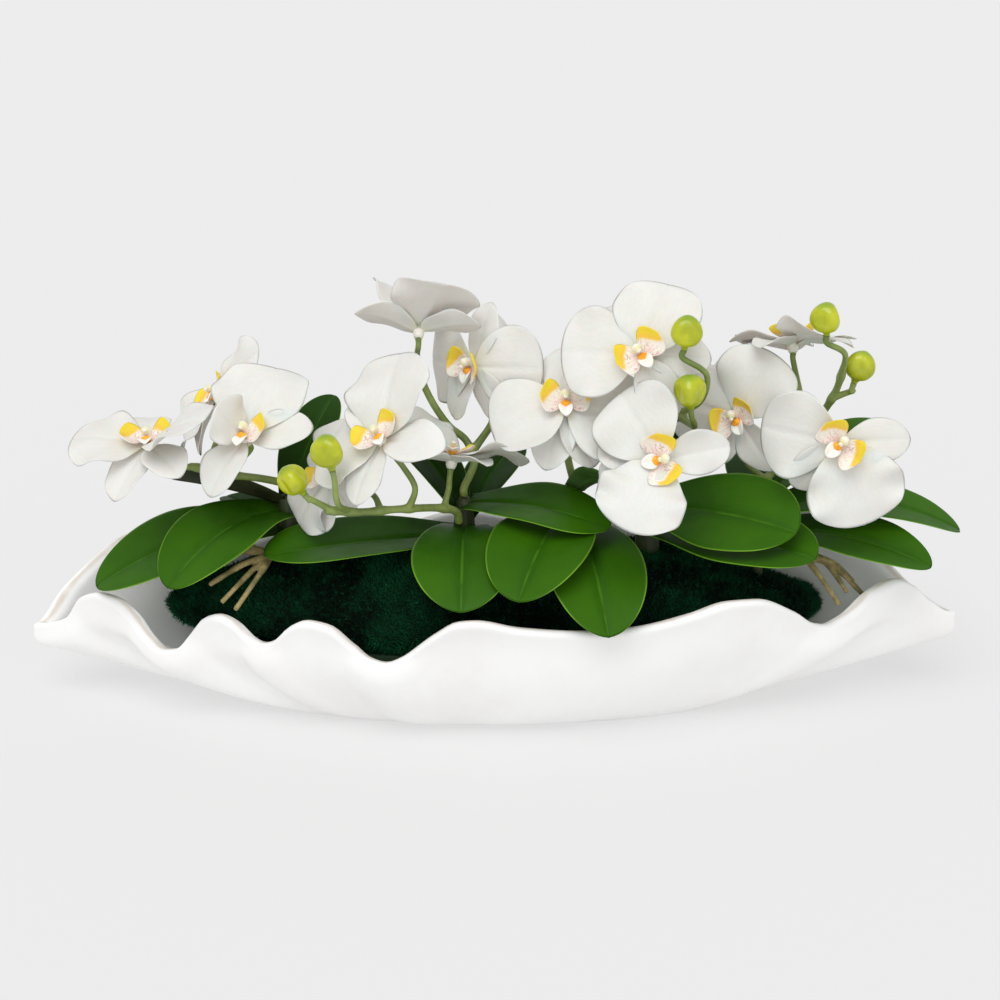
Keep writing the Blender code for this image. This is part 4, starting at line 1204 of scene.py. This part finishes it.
def build_bowl_and_moss():
    settle(make_bowl(make_glaze()), "bowl", "bowl")
    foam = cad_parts["foam_block"]
    foam.data.materials.clear()
    foam.data.materials.append(make_foam_finish())
    mound = settle(make_moss_mound(make_moss_ground()), "moss", "moss_mound")
    tree = make_fibre_tree(make_fibre_finish())
    for i, (density, length, lean) in enumerate(FIBRES):
        values = {
            "Fibres per square metre": density,
            "Fibre length": length * MM,
            "Fibre radius": FIBRE_RADIUS * MM,
            "Lean": lean,
            "Seed": 11 + i,
        }
        settle(grown(f"moss_fibres_{i + 1}", mound, tree, **values), "moss")


def build_plants():
    sheath = make_sheath_and_shade_finish()
    for name in CROWNS:
        settle(make_crown(name, sheath), "crown", name)
    unshaded = [
        make_leaf_top("leaf_top", "1a4103", "305e05", "3c6c08"),
        make_leaf_under("leaf_under", "3a5c22", "54793a"),
    ]
    # Painted shade: darker copies of the leaf finishes, for the leaves that stand in deep shade
    shaded = [
        make_leaf_top("shaded_leaf_top", "0e2404", "1b3a06", "24480a"),
        make_leaf_under("shaded_leaf_under", "1d2110", "343520"),
    ]
    for i, name in enumerate(LEAVES):
        settle(make_leaf(name, shaded if name in SHADED_LEAVES else unshaded, 100 + i), "leaf", name)
    finishes = {
        "petal": make_petal_finish(),
        "lip": make_lip_finish(),
        "tongue": make_midlobe_finish(),
        "column": make_column_finish(),
        "callus": make_callus_finish(),
    }
    for i, name in enumerate(FLOWERS):
        petals, *heart = make_flower(name, finishes, 1000 + 50 * i)
        settle(petals, "petal", name)
        for piece in heart:
            settle(piece, "petal")
    bud = make_bud_finish()
    for i, name in enumerate(BUDS):
        settle(make_bud(name, bud, 300 + i), "bud", name)
    stem = make_stem_finish()
    for name in SPIKES:
        settle(make_spike(name, stem), "stem", name)
    root = make_root_finish()
    for i, name in enumerate(ROOTS):
        settle(make_roots(name, root, 500 + i), "root", name)


def back_towards(elevation, azimuth):
    """The way from the middle to a lamp or the camera, from its place in degrees."""
    e, a = math.radians(elevation), math.radians(azimuth)
    return Vector((math.sin(a) * math.cos(e), -math.cos(a) * math.cos(e), math.sin(e)))


def staged(name, data, back):
    """An object of the studio, looking back at the middle."""
    made = bpy.data.objects.new(name, data)
    made.rotation_euler = back.to_track_quat("Z", "Y").to_euler()
    bpy.context.scene.collection.objects.link(made)
    return made


def build_stage():
    """A wide pale floor, soft light from above, and the camera."""
    mesh = bpy.data.meshes.new("floor")
    mesh.from_pydata([(x * FLOOR_REACH, y * FLOOR_REACH, 0) for x, y in FLOOR_CORNERS], [], [(0, 1, 2, 3)])
    floor = bpy.data.objects.new("floor", mesh)
    bpy.context.scene.collection.objects.link(floor)
    pale = Finish("pale_floor", Roughness=0.9, Specular_IOR_Level=0.0, Emission_Strength=FLOOR_GLOW)
    pale.shader.inputs["Base Color"].default_value = FLOOR_COLOUR
    pale.shader.inputs["Emission Color"].default_value = (1.0, 1.0, 1.0, 1.0)
    mesh.materials.append(pale.material)

    world = bpy.data.worlds.new("studio")
    bpy.context.scene.world = world
    world.use_nodes = True
    background = world.node_tree.nodes["Background"]
    background.inputs["Color"].default_value = (1.0, 1.0, 1.0, 1.0)
    background.inputs["Strength"].default_value = SKY

    for name, energy, angle, elevation, azimuth in LIGHTS:
        light = bpy.data.lights.new(name, "SUN")
        light.energy = energy
        light.angle = math.radians(angle)
        staged(name, light, back_towards(elevation, azimuth))

    back = back_towards(CAMERA_ELEVATION, 0.0)
    camera = staged("camera", bpy.data.cameras.new("camera"), back)
    camera.data.lens = CAMERA_LENS
    camera.data.sensor_width = 36.0
    camera.data.clip_start = 0.05
    camera.data.clip_end = 60.0
    camera.location = Vector(CAMERA_TARGET) + back * CAMERA_DISTANCE
    bpy.context.scene.camera = camera
    bpy.context.scene.view_settings.view_transform = "Standard"


build_stage()
build_bowl_and_moss()
build_plants()
